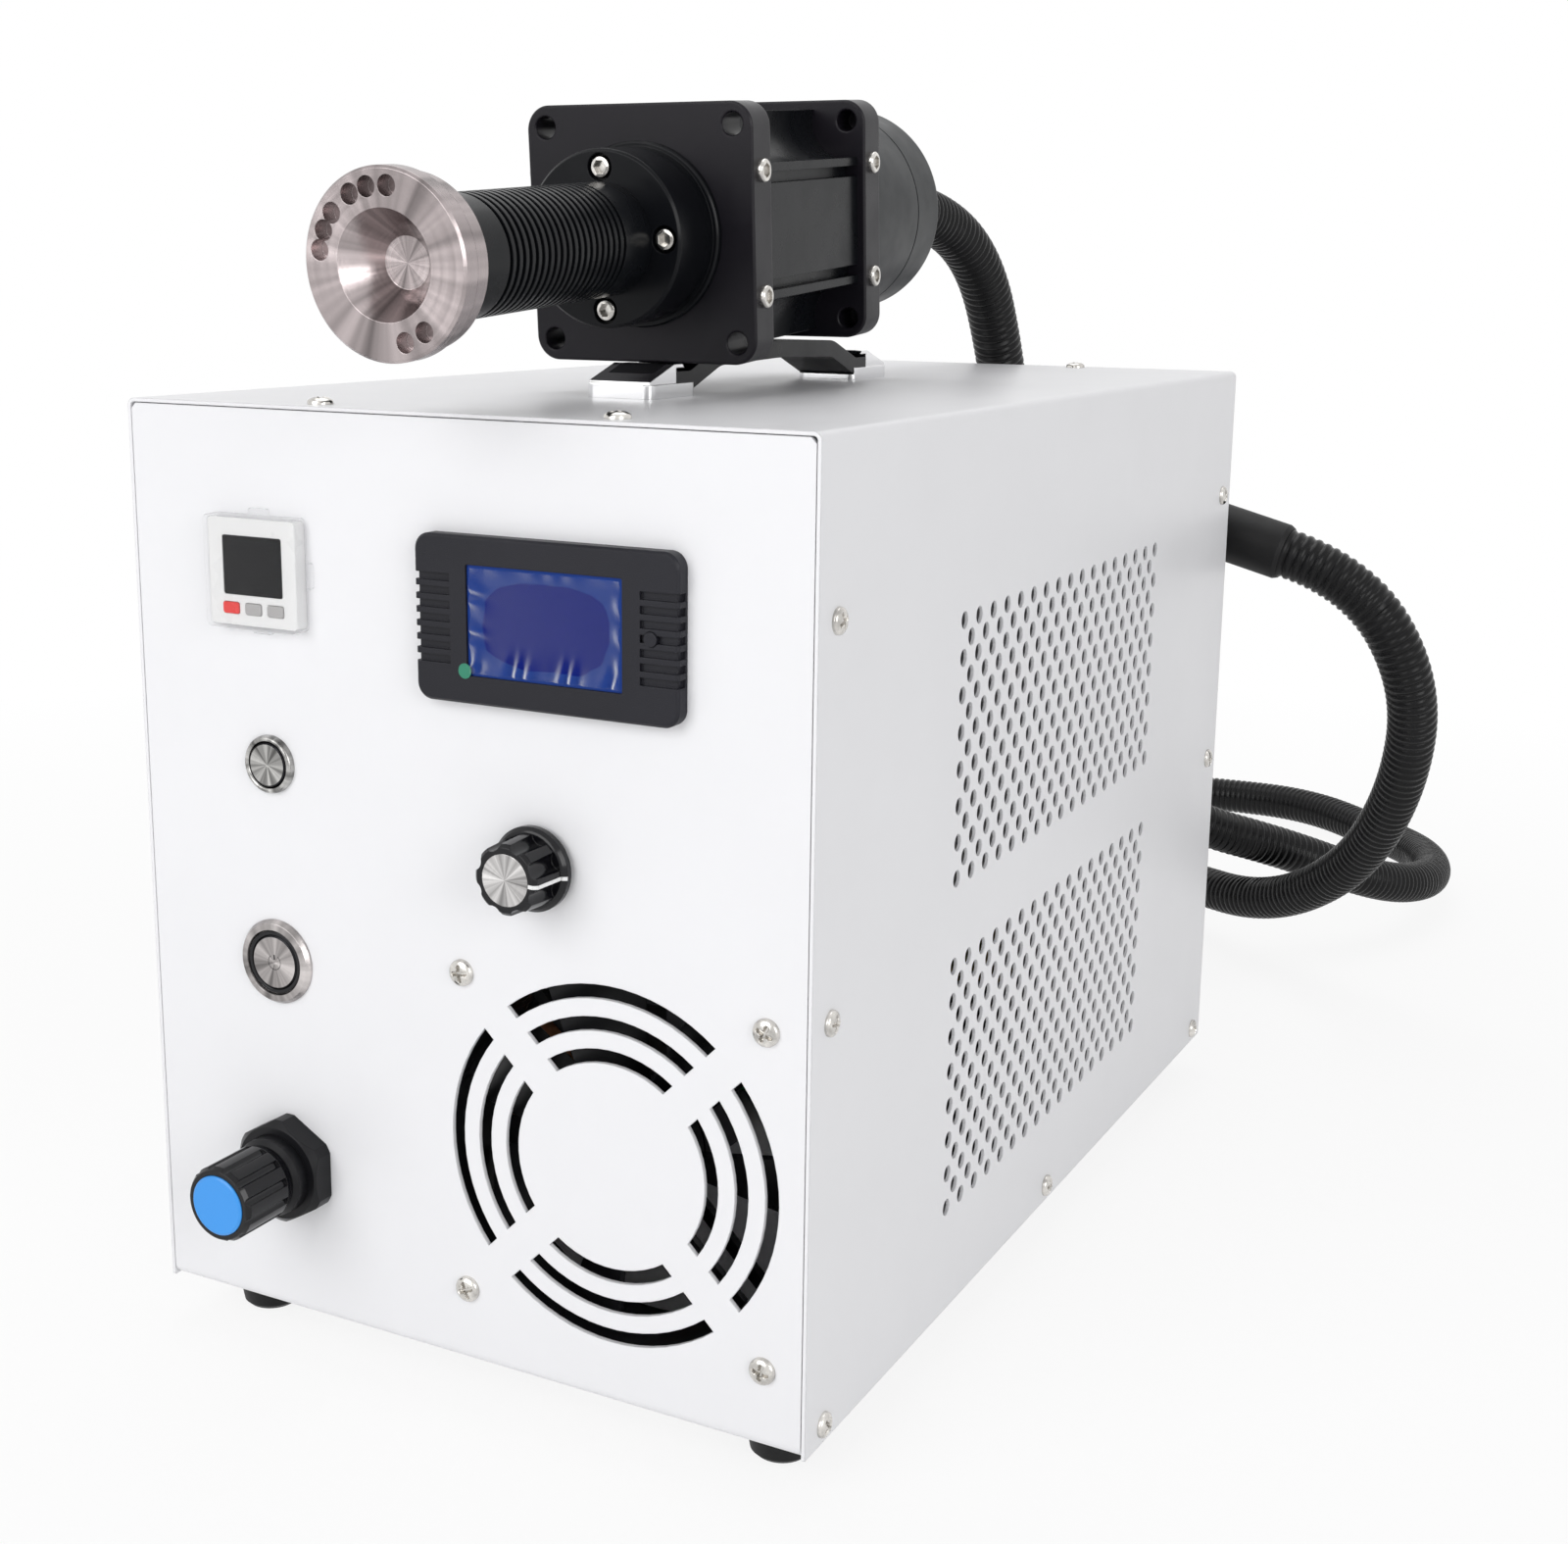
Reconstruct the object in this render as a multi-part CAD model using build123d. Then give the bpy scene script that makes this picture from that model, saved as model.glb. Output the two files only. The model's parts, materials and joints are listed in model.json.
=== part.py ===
from build123d import *
import math
import os

os.makedirs("parts", exist_ok=True)

# Atmospheric rotary plasma cleaner: a bench cabinet with a hand-held torch lying on its carrying handle.
# Millimetres. X runs to the right seen from the front, Y to the rear, Z up.
# The origin is on the bench, under the middle of the cabinet.

# Cabinet
case_width = 244.0
case_depth = 406.0
case_height = 300.0
cover_sheet = 1.2
cover_bend = 2.5
chassis_sheet = 1.5
chassis_bend = 4.0
sheet_gap = 0.3
flange_depth = 20.0
seat_gap = 0.3
slide_gap = 0.1
running_gap = 0.05

# Rubber feet
foot_height = 16.0
foot_radius = 11.5
foot_tip_radius = 10.0
foot_inset_x = 21.0
foot_inset_y = 27.0
foot_screw_radius = 2.0
foot_screw_head_radius = 4.0

# Cover screws
screw_radius = 1.9
screw_hole_radius = 2.2
screw_head_radius = 4.0
screw_head_height = 2.3
screw_length = 6.0
side_screw_heights = (6.0, 132.0, 248.0)
side_screw_inset = 12.0
top_screw_x = 53.0
top_screw_inset = 10.0

# Vents in the cover's sides: two fields of staggered holes
vent_radius = 2.8
vent_sides = 4
vent_pitch_y = 12.3
vent_pitch_z = 12.0
vent_columns = 17
vent_rows = 8
vent_start_y = 104.4
vent_field_heights = (37.5, 151.0)

# Fan behind the front panel
fan_x = 55.3
fan_height = 78.0
fan_size = 119.0
fan_depth = 25.0
fan_duct_radius = 57.8
fan_screw_offset = 52.5
fan_screw_head_radius = 4.25
fan_blade_count = 7
fan_blade_gap = 1.6
fan_hub_radius = 20.0
fan_shaft_radius = 1.5
fan_wall = 3.0
slot_inner_radius = 32.7
slot_width = 4.5
slot_pitch = 10.0
slot_rings = 3
slot_bar_width = 12.0

# Pressure gauge with its clip-on clear cover
gauge_x = -69.8
gauge_height = 248.6
gauge_width = 34.2
gauge_tall = 33.4
gauge_proud = 4.6
gauge_hole = 30.0
gauge_body_depth = 24.0
gauge_screen_width = 23.3
gauge_screen_tall = 18.5
gauge_screen_rise = 2.0
gauge_key_width = 6.3
gauge_key_tall = 3.6
gauge_key_pitch = 8.75
gauge_key_drop = 11.4
gauge_key_travel = 0.5
gauge_cover_wall = 0.8
gauge_cover_pull = 20.0

# Power meter
meter_x = 36.8
meter_height = 240.8
meter_width = 89.6
meter_tall = 49.6
meter_proud = 5.0
meter_hole_width = 86.0
meter_hole_tall = 46.0
meter_body_depth = 22.0
meter_corner = 5.0
meter_screen_width = 53.0
meter_screen_tall = 32.8
meter_screen_depth = 1.8
meter_key_x = 35.8
meter_key_radius = 2.1
meter_key_travel = 0.7
meter_rib_count = 7
meter_rib_pitch = 4.05
meter_rib_slot = 2.3
meter_rib_length = 12.5
meter_rib_depth = 1.2
meter_rib_notch = 1.0

# Push buttons: bezel radius, cap radius, height on the panel
start_x = -69.3
start_height = 187.4
start_bezel_radius = 9.4
start_cap_radius = 7.15
start_thread_radius = 8.0
power_x = -69.6
power_height = 122.1
power_bezel_radius = 14.0
power_cap_radius = 9.0
power_ring_radius = 10.5
power_thread_radius = 11.0
button_bezel_proud = 2.4
button_depth = 26.0
button_travel = 2.0

# Power knob on its potentiometer
knob_x = 31.0
knob_height = 168.3
knob_skirt_radius = 13.0
knob_radius = 10.75
knob_reach = 17.5
knob_flutes = 8
knob_flute_radius = 3.2
knob_flute_depth = 1.7
knob_disc_radius = 8.0
shaft_radius = 3.0
potentiometer_radius = 12.0

# Gas regulator
regulator_x = -67.0
regulator_height = 52.4
regulator_nut_flats = 32.0
regulator_nut_round = 0.55
regulator_nut_depth = 8.0
regulator_collar_radius = 13.0
regulator_knob_radius = 12.4
regulator_reach = 36.3
regulator_cap_radius = 9.9
regulator_flutes = 12
regulator_stem_radius = 4.0
regulator_pull = 3.0
regulator_body_radius = 18.0

# Rear panel fittings
inlet_x = -70.0
inlet_height = 62.0
inlet_width = 27.0
inlet_tall = 20.0
inlet_flange_width = 50.0
inlet_flange_tall = 48.0
inlet_cavity_depth = 15.0
fuse_travel = 18.0
air_inlet_x = -10.0
air_inlet_height = 62.0
air_tube_radius = 4.0
air_collet_travel = 1.0
elbow_x = 66.0
elbow_height = 240.0
elbow_radius = 14.0
elbow_droop = 15.0
elbow_reach = 26.0

# Strap handle on the roof
handle_x = 6.0
handle_front = 87.0
handle_length = 184.0
handle_width = 25.0
handle_end_length = 30.0
handle_end_height = 10.7
handle_skirt_height = 4.5
grip_thickness = 7.4
grip_width = 23.0
grip_ramp = 18.0

# Torch, lying on the handle with its nozzle to the front
torch_turn = 2.0
torch_dip = 4.17
torch_rest = 104.3
plate_size = 82.0
plate_thickness = 13.0
plate_corner = 8.0
plate_hole_offset = 34.0
plate_hole_radius = 3.6
plate_hole_floor = 2.0
plate_hole_break = 0.4
body_size = 76.0
body_length = 77.0
body_channel_radius = 13.0
body_groove_offset = 17.0
body_groove_width = 3.6
body_groove_depth = 4.0
plate_screw_offset = 19.6
torch_screw_head_radius = 3.7
hub_ring_radius = 29.5
hub_ring_height = 2.5
hub_radius = 27.7
hub_height = 24.9
hub_screw_circle = 22.0
hub_screw_radius = 3.5
neck_radius = 17.7
neck_core_radius = 15.2
neck_length = 103.6
fin_start = 16.0
fin_count = 20
fin_pitch = 3.4
fin_width = 1.7
nozzle_radius = 26.0
edge_break = 0.8
nozzle_rim = 6.0
nozzle_collar_radius = 24.4
nozzle_length = 13.7
nozzle_cone_radius = 15.1
nozzle_floor_radius = 7.2
nozzle_cone_depth = 11.2
balance_hole_radius = 2.85
balance_circle = 20.9
balance_hole_depth = 5.0
balance_angles = (-7.0, 11.0, 27.0, 49.0, 64.0, 79.0, 194.7, 214.0)
torch_shaft_radius = 6.0
bearing_radius = 11.0
bearing_width = 8.0
cap_radius = 38.0
cap_length = 69.0
cap_seam = 46.0
gland_radius = 15.0
gland_length = 18.0

# Hose from the cabinet's rear elbow to the torch
hose_radius = 11.0
sleeve_radius = 12.5
sleeve_length = 52.0
hose_first_run = 34.0
hose_last_run = 49.0

front = -case_depth / 2
back = case_depth / 2
base = foot_height
roof = base + case_height
inner_half = case_width / 2 - cover_sheet - sheet_gap
inner_roof = roof - cover_sheet - sheet_gap
deck = base + chassis_sheet
panel_back = front + chassis_sheet
rear_inside = back - chassis_sheet
out_of_front = Rot(90, 0, 0)
out_of_back = Rot(0, 0, 180) * Rot(90, 0, 0)


def block(x_span, y_span, z_span):
    """A box from its low and high side on each axis."""
    spans = (x_span, y_span, z_span)
    sizes = [high - low for low, high in spans]
    middle = [(low + high) / 2 for low, high in spans]
    return Pos(*middle) * Box(*sizes)


def about(middle, size):
    """The span of a size about its middle."""
    return (middle - size / 2, middle + size / 2)


def turned(points):
    """A solid of revolution about Z from (radius, height) points."""
    outline = make_face(Polyline(*points, close=True))
    return revolve(Plane.XZ * outline, Axis.Z, 360)


def rod(radius, low, high):
    """A round bar about Z between two heights."""
    return Pos(0, 0, (low + high) / 2) * Cylinder(radius, high - low)


def tube(outer, inner, low, high):
    """A round pipe about Z between two heights."""
    return rod(outer, low, high) - rod(inner, low - 1, high + 1)


def rounded_plate(width, tall, corner, low, high):
    """A plate across Z with rounded corners, between two heights."""
    outline = RectangleRounded(width, tall, corner)
    return Pos(0, 0, low) * extrude(outline, high - low)


def panel_place(x, height):
    """Places a piece modelled along Z so that Z comes out of the front panel's face."""
    return Pos(x, front, base + height) * out_of_front


def rear_place(x, height):
    """Places a piece modelled along Z so that Z comes out of the rear panel's face."""
    return Pos(x, back, base + height) * out_of_back


def save(name, shape):
    """Writes one node."""
    solids = shape.solids()
    whole = solids[0] if len(solids) == 1 else Compound(children=list(solids))
    export_step(whole, f"parts/{name}.step")


# Screws that hold the cover: each has a place with Z along the screw, out of the sheet
def cover_screw_places():
    places = []
    for side in (-1, 1):
        for height in side_screw_heights:
            for y in (front + side_screw_inset, back - side_screw_inset):
                places.append(Pos(side * case_width / 2, y, base + height) * Rot(0, side * 90, 0))
        places.append(Pos(side * case_width / 2, 0, base + side_screw_heights[0]) * Rot(0, side * 90, 0))
        for y in (front + top_screw_inset, back - top_screw_inset):
            places.append(Pos(side * top_screw_x, y, roof))
    return places


def screw(head_radius, head_height, shank_radius, length):
    """A pan-head screw about Z with its seat at zero and its shank below."""
    crown = head_height * 0.45
    return turned([(0, -length), (shank_radius, -length), (shank_radius, 0), (head_radius, 0),
                   (head_radius, head_height - crown), (head_radius * 0.6, head_height), (0, head_height)])


def screw_holes():
    holes = [place * rod(screw_hole_radius, -flange_depth / 2, 1) for place in cover_screw_places()]
    return Compound(children=holes)


def cover_screws():
    one = screw(screw_head_radius, screw_head_height, screw_radius, screw_length)
    return Compound(children=[place * one for place in cover_screw_places()])


def vent_field(height):
    """One field of staggered holes through the right wall."""
    places = []
    for row in range(vent_rows):
        odd = row % 2
        for column in range(vent_columns - odd):
            y = front + vent_start_y + (column + odd / 2) * vent_pitch_y
            z = base + height + row * vent_pitch_z
            places.append(Location((y, z)))
    sketch = Sketch() + [place * RegularPolygon(vent_radius, vent_sides) for place in places]
    wall = Plane(origin=(case_width / 2 - 2 * cover_sheet, 0, 0), x_dir=(0, 1, 0), z_dir=(1, 0, 0))
    return extrude(wall * sketch, 3 * cover_sheet)


def cover():
    """The inverted U that wraps the roof and both sides."""
    wall = Plane(origin=(0, front, 0), x_dir=(1, 0, 0), z_dir=(0, 1, 0))
    half = case_width / 2
    outer = make_face(FilletPolyline((-half, -base), (-half, -roof), (half, -roof), (half, -base),
                                     radius=cover_bend) + Line((half, -base), (-half, -base)))
    inner_width = half - cover_sheet
    inner_bend = cover_bend - cover_sheet
    top = roof - cover_sheet
    inner = make_face(FilletPolyline((-inner_width, -base + 1), (-inner_width, -top), (inner_width, -top),
                                     (inner_width, -base + 1), radius=inner_bend)
                      + Line((inner_width, -base + 1), (-inner_width, -base + 1)))
    shell = extrude(wall * (outer - inner), case_depth)
    for height in vent_field_heights:
        shell -= vent_field(height)
    return shell - screw_holes()


def fan_slots():
    """Rings of slots split by bars at 45 degrees, as one cutter through the front panel."""
    cutter = Part()
    for ring in range(slot_rings):
        inner = slot_inner_radius + ring * slot_pitch
        cutter += tube(inner + slot_width, inner, -2 * chassis_sheet, chassis_sheet)
    reach = 2 * (slot_inner_radius + slot_rings * slot_pitch)
    bar = Box(reach, slot_bar_width, 8 * chassis_sheet)
    for angle in (45, 135):
        cutter -= Rot(0, 0, angle) * bar
    return cutter


def panel_cutters():
    """Everything that is cut through the front panel."""
    low, high = -2 * chassis_sheet, chassis_sheet
    fan = panel_place(fan_x, fan_height)
    cutters = [fan * fan_slots()]
    for x in (-fan_screw_offset, fan_screw_offset):
        for y in (-fan_screw_offset, fan_screw_offset):
            cutters.append(fan * Pos(x, y, 0) * rod(screw_hole_radius, low, high))
    cutters.append(panel_place(gauge_x, gauge_height) * rounded_plate(gauge_hole, gauge_hole, 1, low, high))
    meter = rounded_plate(meter_hole_width, meter_hole_tall, 2, low, high)
    cutters.append(panel_place(meter_x, meter_height) * meter)
    rounds = ((start_x, start_height, start_thread_radius + sheet_gap),
              (power_x, power_height, power_thread_radius + sheet_gap),
              (knob_x, knob_height, shaft_radius + 1.5 + sheet_gap),
              (regulator_x, regulator_height, regulator_collar_radius + sheet_gap))
    for x, height, radius in rounds:
        cutters.append(panel_place(x, height) * rod(radius, low, high))
    return cutters


def rear_cutters():
    """Everything that is cut through the rear panel."""
    low, high = -2 * chassis_sheet, chassis_sheet
    inlet = rounded_plate(inlet_width + 2, inlet_flange_tall - 6, 2, low, high)
    return [rear_place(inlet_x, inlet_height) * inlet,
            rear_place(air_inlet_x, air_inlet_height) * rod(air_tube_radius + 3, low, high),
            rear_place(elbow_x, elbow_height) * rod(elbow_radius - 3 + sheet_gap, low, high)]


def corner_relief():
    """Cuts the upper corners of both panels to clear the bends of the cover."""
    cuts = Part()
    for hand in (-1, 1):
        corner = Pos(hand * inner_half, 0, inner_roof) * Rot(0, 45, 0)
        cuts += corner * Box(cover_bend, 2 * case_depth, cover_bend)
    return cuts


def chassis():
    """Front panel, floor and rear panel bent from one sheet, with flanges for the cover's screws."""
    side = Plane(origin=(-inner_half, 0, 0), x_dir=(0, 1, 0), z_dir=(1, 0, 0))
    bend = chassis_bend
    inner_bend = bend - chassis_sheet
    outer = make_face(FilletPolyline((front, inner_roof), (front, base), (back, base), (back, inner_roof),
                                     radius=bend) + Line((back, inner_roof), (front, inner_roof)))
    inner = make_face(FilletPolyline((panel_back, roof), (panel_back, deck), (rear_inside, deck),
                                     (rear_inside, roof), radius=inner_bend)
                      + Line((rear_inside, roof), (panel_back, roof)))
    tray = extrude(side * (outer - inner), 2 * inner_half)
    tray -= corner_relief()
    flange_low = base + chassis_bend + 4
    flange_high = inner_roof - chassis_sheet - 3
    for hand in (-1, 1):
        wall = (hand * inner_half, hand * (inner_half - chassis_sheet))
        x_span = (min(wall), max(wall))
        tray += block(x_span, (panel_back, panel_back + flange_depth), (flange_low, flange_high))
        tray += block(x_span, (rear_inside - flange_depth, rear_inside), (flange_low, flange_high))
        y_span = (panel_back + chassis_bend, rear_inside - chassis_bend)
        tray += block(x_span, y_span, (deck, deck + flange_depth / 2))
    lip = (inner_roof - chassis_sheet, inner_roof)
    lip_half = inner_half - flange_depth
    tray += block((-lip_half, lip_half), (panel_back, panel_back + flange_depth), lip)
    tray += block((-lip_half, lip_half), (rear_inside - flange_depth, rear_inside), lip)
    for cutter in panel_cutters() + rear_cutters():
        tray -= cutter
    for x, y in foot_places():
        tray -= Pos(x, y, 0) * rod(foot_screw_radius + sheet_gap, base - 1, deck + 1)
    return tray - screw_holes()


def foot_places():
    x = case_width / 2 - foot_inset_x
    y = case_depth / 2 - foot_inset_y
    return [(-x, -y), (x, -y), (-x, y), (x, y)]


def feet():
    """Four tapered rubber feet, hollow below for the screw's head."""
    well = foot_height * 0.55
    one = turned([(foot_screw_radius, foot_height), (foot_radius, foot_height),
                  (foot_radius, foot_height * 0.6),
                  (foot_tip_radius, 1.5), (foot_tip_radius - 1.5, 0), (foot_screw_head_radius + 1, 0),
                  (foot_screw_head_radius + 1, well), (foot_screw_radius, well)])
    return Compound(children=[Pos(x, y, 0) * one for x, y in foot_places()])


def foot_screws():
    well = foot_height * 0.55
    nut = Pos(0, 0, deck) * extrude(RegularPolygon(foot_screw_head_radius, 6), 3)
    one = Pos(0, 0, well) * Rot(180, 0, 0) * screw(foot_screw_head_radius, 2.5, foot_screw_radius,
                                                  deck - well + 4) + nut
    return Compound(children=[Pos(x, y, 0) * one for x, y in foot_places()])


# Fan, modelled with Z out of the front panel and its frame behind the sheet
def fan_place():
    return panel_place(fan_x, fan_height)


def fan_frame():
    """The square frame with its duct, four struts and the motor seat at its rear."""
    front_face = -chassis_sheet
    rear_face = front_face - fan_depth
    frame = rounded_plate(fan_size, fan_size, 6, rear_face, front_face)
    frame -= rod(fan_duct_radius, rear_face - 1, front_face + 1)
    waist = rounded_plate(fan_size + 4, fan_size + 4, 6, rear_face + 5, front_face - 5)
    waist -= rod(fan_duct_radius + 1.5, rear_face, front_face)
    for x in (-1, 1):
        for y in (-1, 1):
            waist -= Pos(x * fan_screw_offset, y * fan_screw_offset, 0) * rod(7, rear_face, front_face)
    frame -= waist
    seat = rod(fan_hub_radius, rear_face, rear_face + fan_wall)
    seat += rod(fan_shaft_radius + 2.5, rear_face, rear_face + 2.5 * fan_wall)
    strut = block((0, fan_duct_radius + 1), about(0, 4), (rear_face, rear_face + fan_wall))
    for angle in (45, 135, 225, 315):
        seat += Rot(0, 0, angle) * strut
    frame += seat
    frame -= rod(fan_shaft_radius + running_gap, rear_face - 1, front_face)
    for x in (-1, 1):
        for y in (-1, 1):
            hole = rod(screw_hole_radius, rear_face - 1, front_face + 1)
            frame -= Pos(x * fan_screw_offset, y * fan_screw_offset, 0) * hole
    return fan_place() * frame


def fan_rotor():
    """Hub, swept blades and the shaft that runs in the frame's bearing."""
    front_face = -chassis_sheet - 2
    hub_back = -chassis_sheet - fan_depth + fan_wall + 1
    hub = tube(fan_hub_radius, fan_hub_radius - 2, hub_back, front_face)
    hub += rod(fan_hub_radius, front_face - 2, front_face)
    hub += rod(fan_shaft_radius, hub_back - fan_wall, front_face)
    middle = (front_face + hub_back) / 2
    tip = fan_duct_radius - fan_blade_gap
    root = Plane(origin=(fan_hub_radius - 1, 0, middle), x_dir=(0, 1, 0), z_dir=(1, 0, 0))
    edge = Plane(origin=(tip, 0, middle), x_dir=(0, 1, 0), z_dir=(1, 0, 0))
    blade = loft([root * Rot(0, 0, 48) * Rectangle(20, 1.8), edge * Rot(0, 0, 30) * Rectangle(30, 1.4)])
    blade &= rod(tip, hub_back - 1, front_face + 1)
    for index in range(fan_blade_count):
        hub += Rot(0, 0, index * 360 / fan_blade_count) * blade
    return fan_place() * hub


def fan_screws():
    one = screw(fan_screw_head_radius, screw_head_height, screw_radius, chassis_sheet + fan_depth - 2)
    places = [Pos(x * fan_screw_offset, y * fan_screw_offset, 0) for x in (-1, 1) for y in (-1, 1)]
    return fan_place() * Compound(children=[place * one for place in places])


# Pressure gauge
def gauge_place():
    return panel_place(gauge_x, gauge_height)


def gauge_key_places():
    return [Pos(column * gauge_key_pitch, -gauge_key_drop, 0) for column in (-1, 0, 1)]


def gauge_body():
    """The white bezel with its pockets, and the sensor block behind the panel."""
    body = rounded_plate(gauge_width, gauge_tall, 1.5, 0, gauge_proud)
    body += rounded_plate(gauge_hole - 2 * sheet_gap, gauge_hole - 2 * sheet_gap, 1, -gauge_body_depth, 0)
    body += rod(5, -gauge_body_depth - 8, -gauge_body_depth)
    screen = rounded_plate(gauge_screen_width, gauge_screen_tall, 0.8, gauge_proud - 1, gauge_proud + 1)
    body -= Pos(0, gauge_screen_rise, 0) * screen
    pocket = rounded_plate(gauge_key_width + 2 * slide_gap, gauge_key_tall + 2 * slide_gap, 0.8,
                           gauge_proud - 3.5,
                           gauge_proud + 1)
    for place in gauge_key_places():
        body -= place * pocket
    return gauge_place() * body


def gauge_screen():
    window = rounded_plate(gauge_screen_width - slide_gap, gauge_screen_tall - slide_gap, 0.8,
                           gauge_proud - 1,
                           gauge_proud - 0.2)
    return gauge_place() * Pos(0, gauge_screen_rise, 0) * window


def gauge_key(index):
    low = gauge_proud - 3.5 + gauge_key_travel + slide_gap
    key = rounded_plate(gauge_key_width, gauge_key_tall, 0.8, low, gauge_proud + 0.3)
    return gauge_place() * gauge_key_places()[index] * key


def gauge_cover():
    """Clear lid over the bezel, clipped at its sides, with four small tabs."""
    inside = gauge_proud + 0.3 + sheet_gap
    outside = inside + gauge_cover_wall
    wide = gauge_width + 2 * slide_gap
    tall = gauge_tall + 2 * slide_gap
    wall = 2 * gauge_cover_wall
    lid = rounded_plate(wide + wall, tall + wall, 2, slide_gap, outside)
    lid -= rounded_plate(wide, tall, 1.5, slide_gap - 1, inside)
    tab = rounded_plate(wide + wall + 5, 8, 1, slide_gap, slide_gap + 1)
    tab += rounded_plate(8, tall + wall + 4, 1, slide_gap, slide_gap + 1)
    tab -= rounded_plate(wide, tall, 1.5, slide_gap - 1, slide_gap + 2)
    return gauge_place() * (lid + tab)


# Power meter
def meter_place():
    return panel_place(meter_x, meter_height)


def meter_housing():
    """The moulded bezel with its screen window, ribbed ends and key pocket, and the box behind the panel."""
    body = rounded_plate(meter_width, meter_tall, meter_corner, 0, meter_proud)
    body = chamfer(body.faces().sort_by(Axis.Z)[-1].edges(), 0.8)
    rear = rounded_plate(meter_hole_width - 2 * sheet_gap, meter_hole_tall - 2 * sheet_gap, 2,
                         -meter_body_depth, 0)
    body += rear
    screen = rounded_plate(meter_screen_width, meter_screen_tall, 0.6, meter_proud - meter_screen_depth,
                           meter_proud + 1)
    body -= screen
    rib_start = -(meter_rib_count - 1) / 2 * meter_rib_pitch
    slot = Box(2 * meter_rib_length, meter_rib_slot, 2 * meter_rib_depth)
    notch = Box(2 * meter_rib_notch, meter_rib_slot, 2 * (meter_proud - 1))
    for side in (-1, 1):
        for index in range(meter_rib_count):
            y = rib_start + index * meter_rib_pitch
            body -= Pos(side * meter_width / 2, y, meter_proud) * slot
            body -= Pos(side * meter_width / 2, y, meter_proud) * notch
    body -= Pos(meter_key_x, 0, 0) * rod(meter_key_radius + slide_gap, meter_proud - 4, meter_proud + 1)
    return meter_place() * body


def meter_display():
    low = meter_proud - meter_screen_depth
    glass = rounded_plate(meter_screen_width - slide_gap, meter_screen_tall - slide_gap, 0.6, low, low + 1)
    return meter_place() * glass


def meter_key():
    low = meter_proud - 4 + meter_key_travel + slide_gap
    return meter_place() * Pos(meter_key_x, 0, 0) * rod(meter_key_radius, low, meter_proud + 0.4)


# Push buttons, modelled with Z out of the panel
def button_body(bezel_radius, face_radius, cap_radius, thread_radius):
    """Bezel, threaded barrel and the bore that the cap slides in."""
    bore = cap_radius + slide_gap
    floor_depth = -7.0
    points = [(0, -button_depth), (thread_radius - 2, -button_depth), (thread_radius - 2, floor_depth - 8),
              (thread_radius, floor_depth - 8), (thread_radius, 0), (bezel_radius, 0), (bezel_radius, 0.7),
              (bezel_radius - 1, button_bezel_proud - 0.3), (face_radius + 0.4, button_bezel_proud)]
    if face_radius > bore + 0.5:
        points += [(face_radius, button_bezel_proud - 1), (bore, button_bezel_proud - 1)]
    else:
        points += [(bore, button_bezel_proud)]
    points += [(bore, floor_depth), (0, floor_depth)]
    return turned(points)


def button_cap(cap_radius, proud):
    """The moving cap, slightly crowned, with a shallow ring groove."""
    low = -7.0 + button_travel + slide_gap
    return turned([(0, low), (cap_radius, low), (cap_radius, proud - 0.4), (cap_radius - 0.5, proud),
                   (0, proud - 0.2)])


def start_button_body():
    face_radius = start_cap_radius + slide_gap
    body = button_body(start_bezel_radius, face_radius, start_cap_radius, start_thread_radius)
    return panel_place(start_x, start_height) * body


def start_button_cap():
    return panel_place(start_x, start_height) * button_cap(start_cap_radius, 2.2)


def power_button_body():
    body = button_body(power_bezel_radius, power_ring_radius, power_cap_radius, power_thread_radius)
    return panel_place(power_x, power_height) * body


def power_button_cap():
    return panel_place(power_x, power_height) * button_cap(power_cap_radius, 2.0)


def button_nuts():
    """The two hexagon nuts that clamp the buttons from behind the panel."""
    nuts = []
    for x, height, radius in ((start_x, start_height, start_thread_radius),
                              (power_x, power_height, power_thread_radius)):
        nut = extrude(RegularPolygon(radius + 3.5, 6), 3) - rod(radius + running_gap, -1, 5)
        nuts.append(panel_place(x, height) * Pos(0, 0, -chassis_sheet - 3) * nut)
    return Compound(children=nuts)


# Power knob
def potentiometer():
    """Round potentiometer with its threaded bush and the nut under the knob."""
    bush = shaft_radius + 1.5
    body = rod(potentiometer_radius, -chassis_sheet - 12, -chassis_sheet)
    body += rod(bush, -chassis_sheet, 3)
    body += extrude(RegularPolygon(bush + 2, 6), 1.6)
    body += Pos(0, -potentiometer_radius, -chassis_sheet - 5) * Box(14, 10, 1.6)
    body -= rod(shaft_radius + running_gap, -chassis_sheet - 8, 4)
    return panel_place(knob_x, knob_height) * body


def potentiometer_shaft():
    low = -chassis_sheet - 8 + running_gap
    return panel_place(knob_x, knob_height) * rod(shaft_radius, low, knob_reach - 6)


def power_knob():
    """Fluted knob with a skirt, hollow under the skirt to clear the nut."""
    body = turned([(0, 2), (knob_skirt_radius, 2), (knob_skirt_radius, 4), (knob_skirt_radius - 1, 5),
                   (knob_radius + 0.6, 5.2), (knob_radius, knob_reach - 1), (knob_radius - 1, knob_reach),
                   (0, knob_reach)])
    centre = knob_radius - knob_flute_depth + knob_flute_radius
    flute = Pos(centre, 0, 0) * rod(knob_flute_radius, 5.2, knob_reach + 1)
    for index in range(knob_flutes):
        body -= Rot(0, 0, (index + 0.5) * 360 / knob_flutes) * flute
    body -= rod(shaft_radius + 4.5, 0, 4)
    body -= rod(shaft_radius + slide_gap, 0, knob_reach - 6 + slide_gap)
    body -= rod(knob_disc_radius, knob_reach - 0.6, knob_reach + 1)
    return panel_place(knob_x, knob_height) * body


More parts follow.
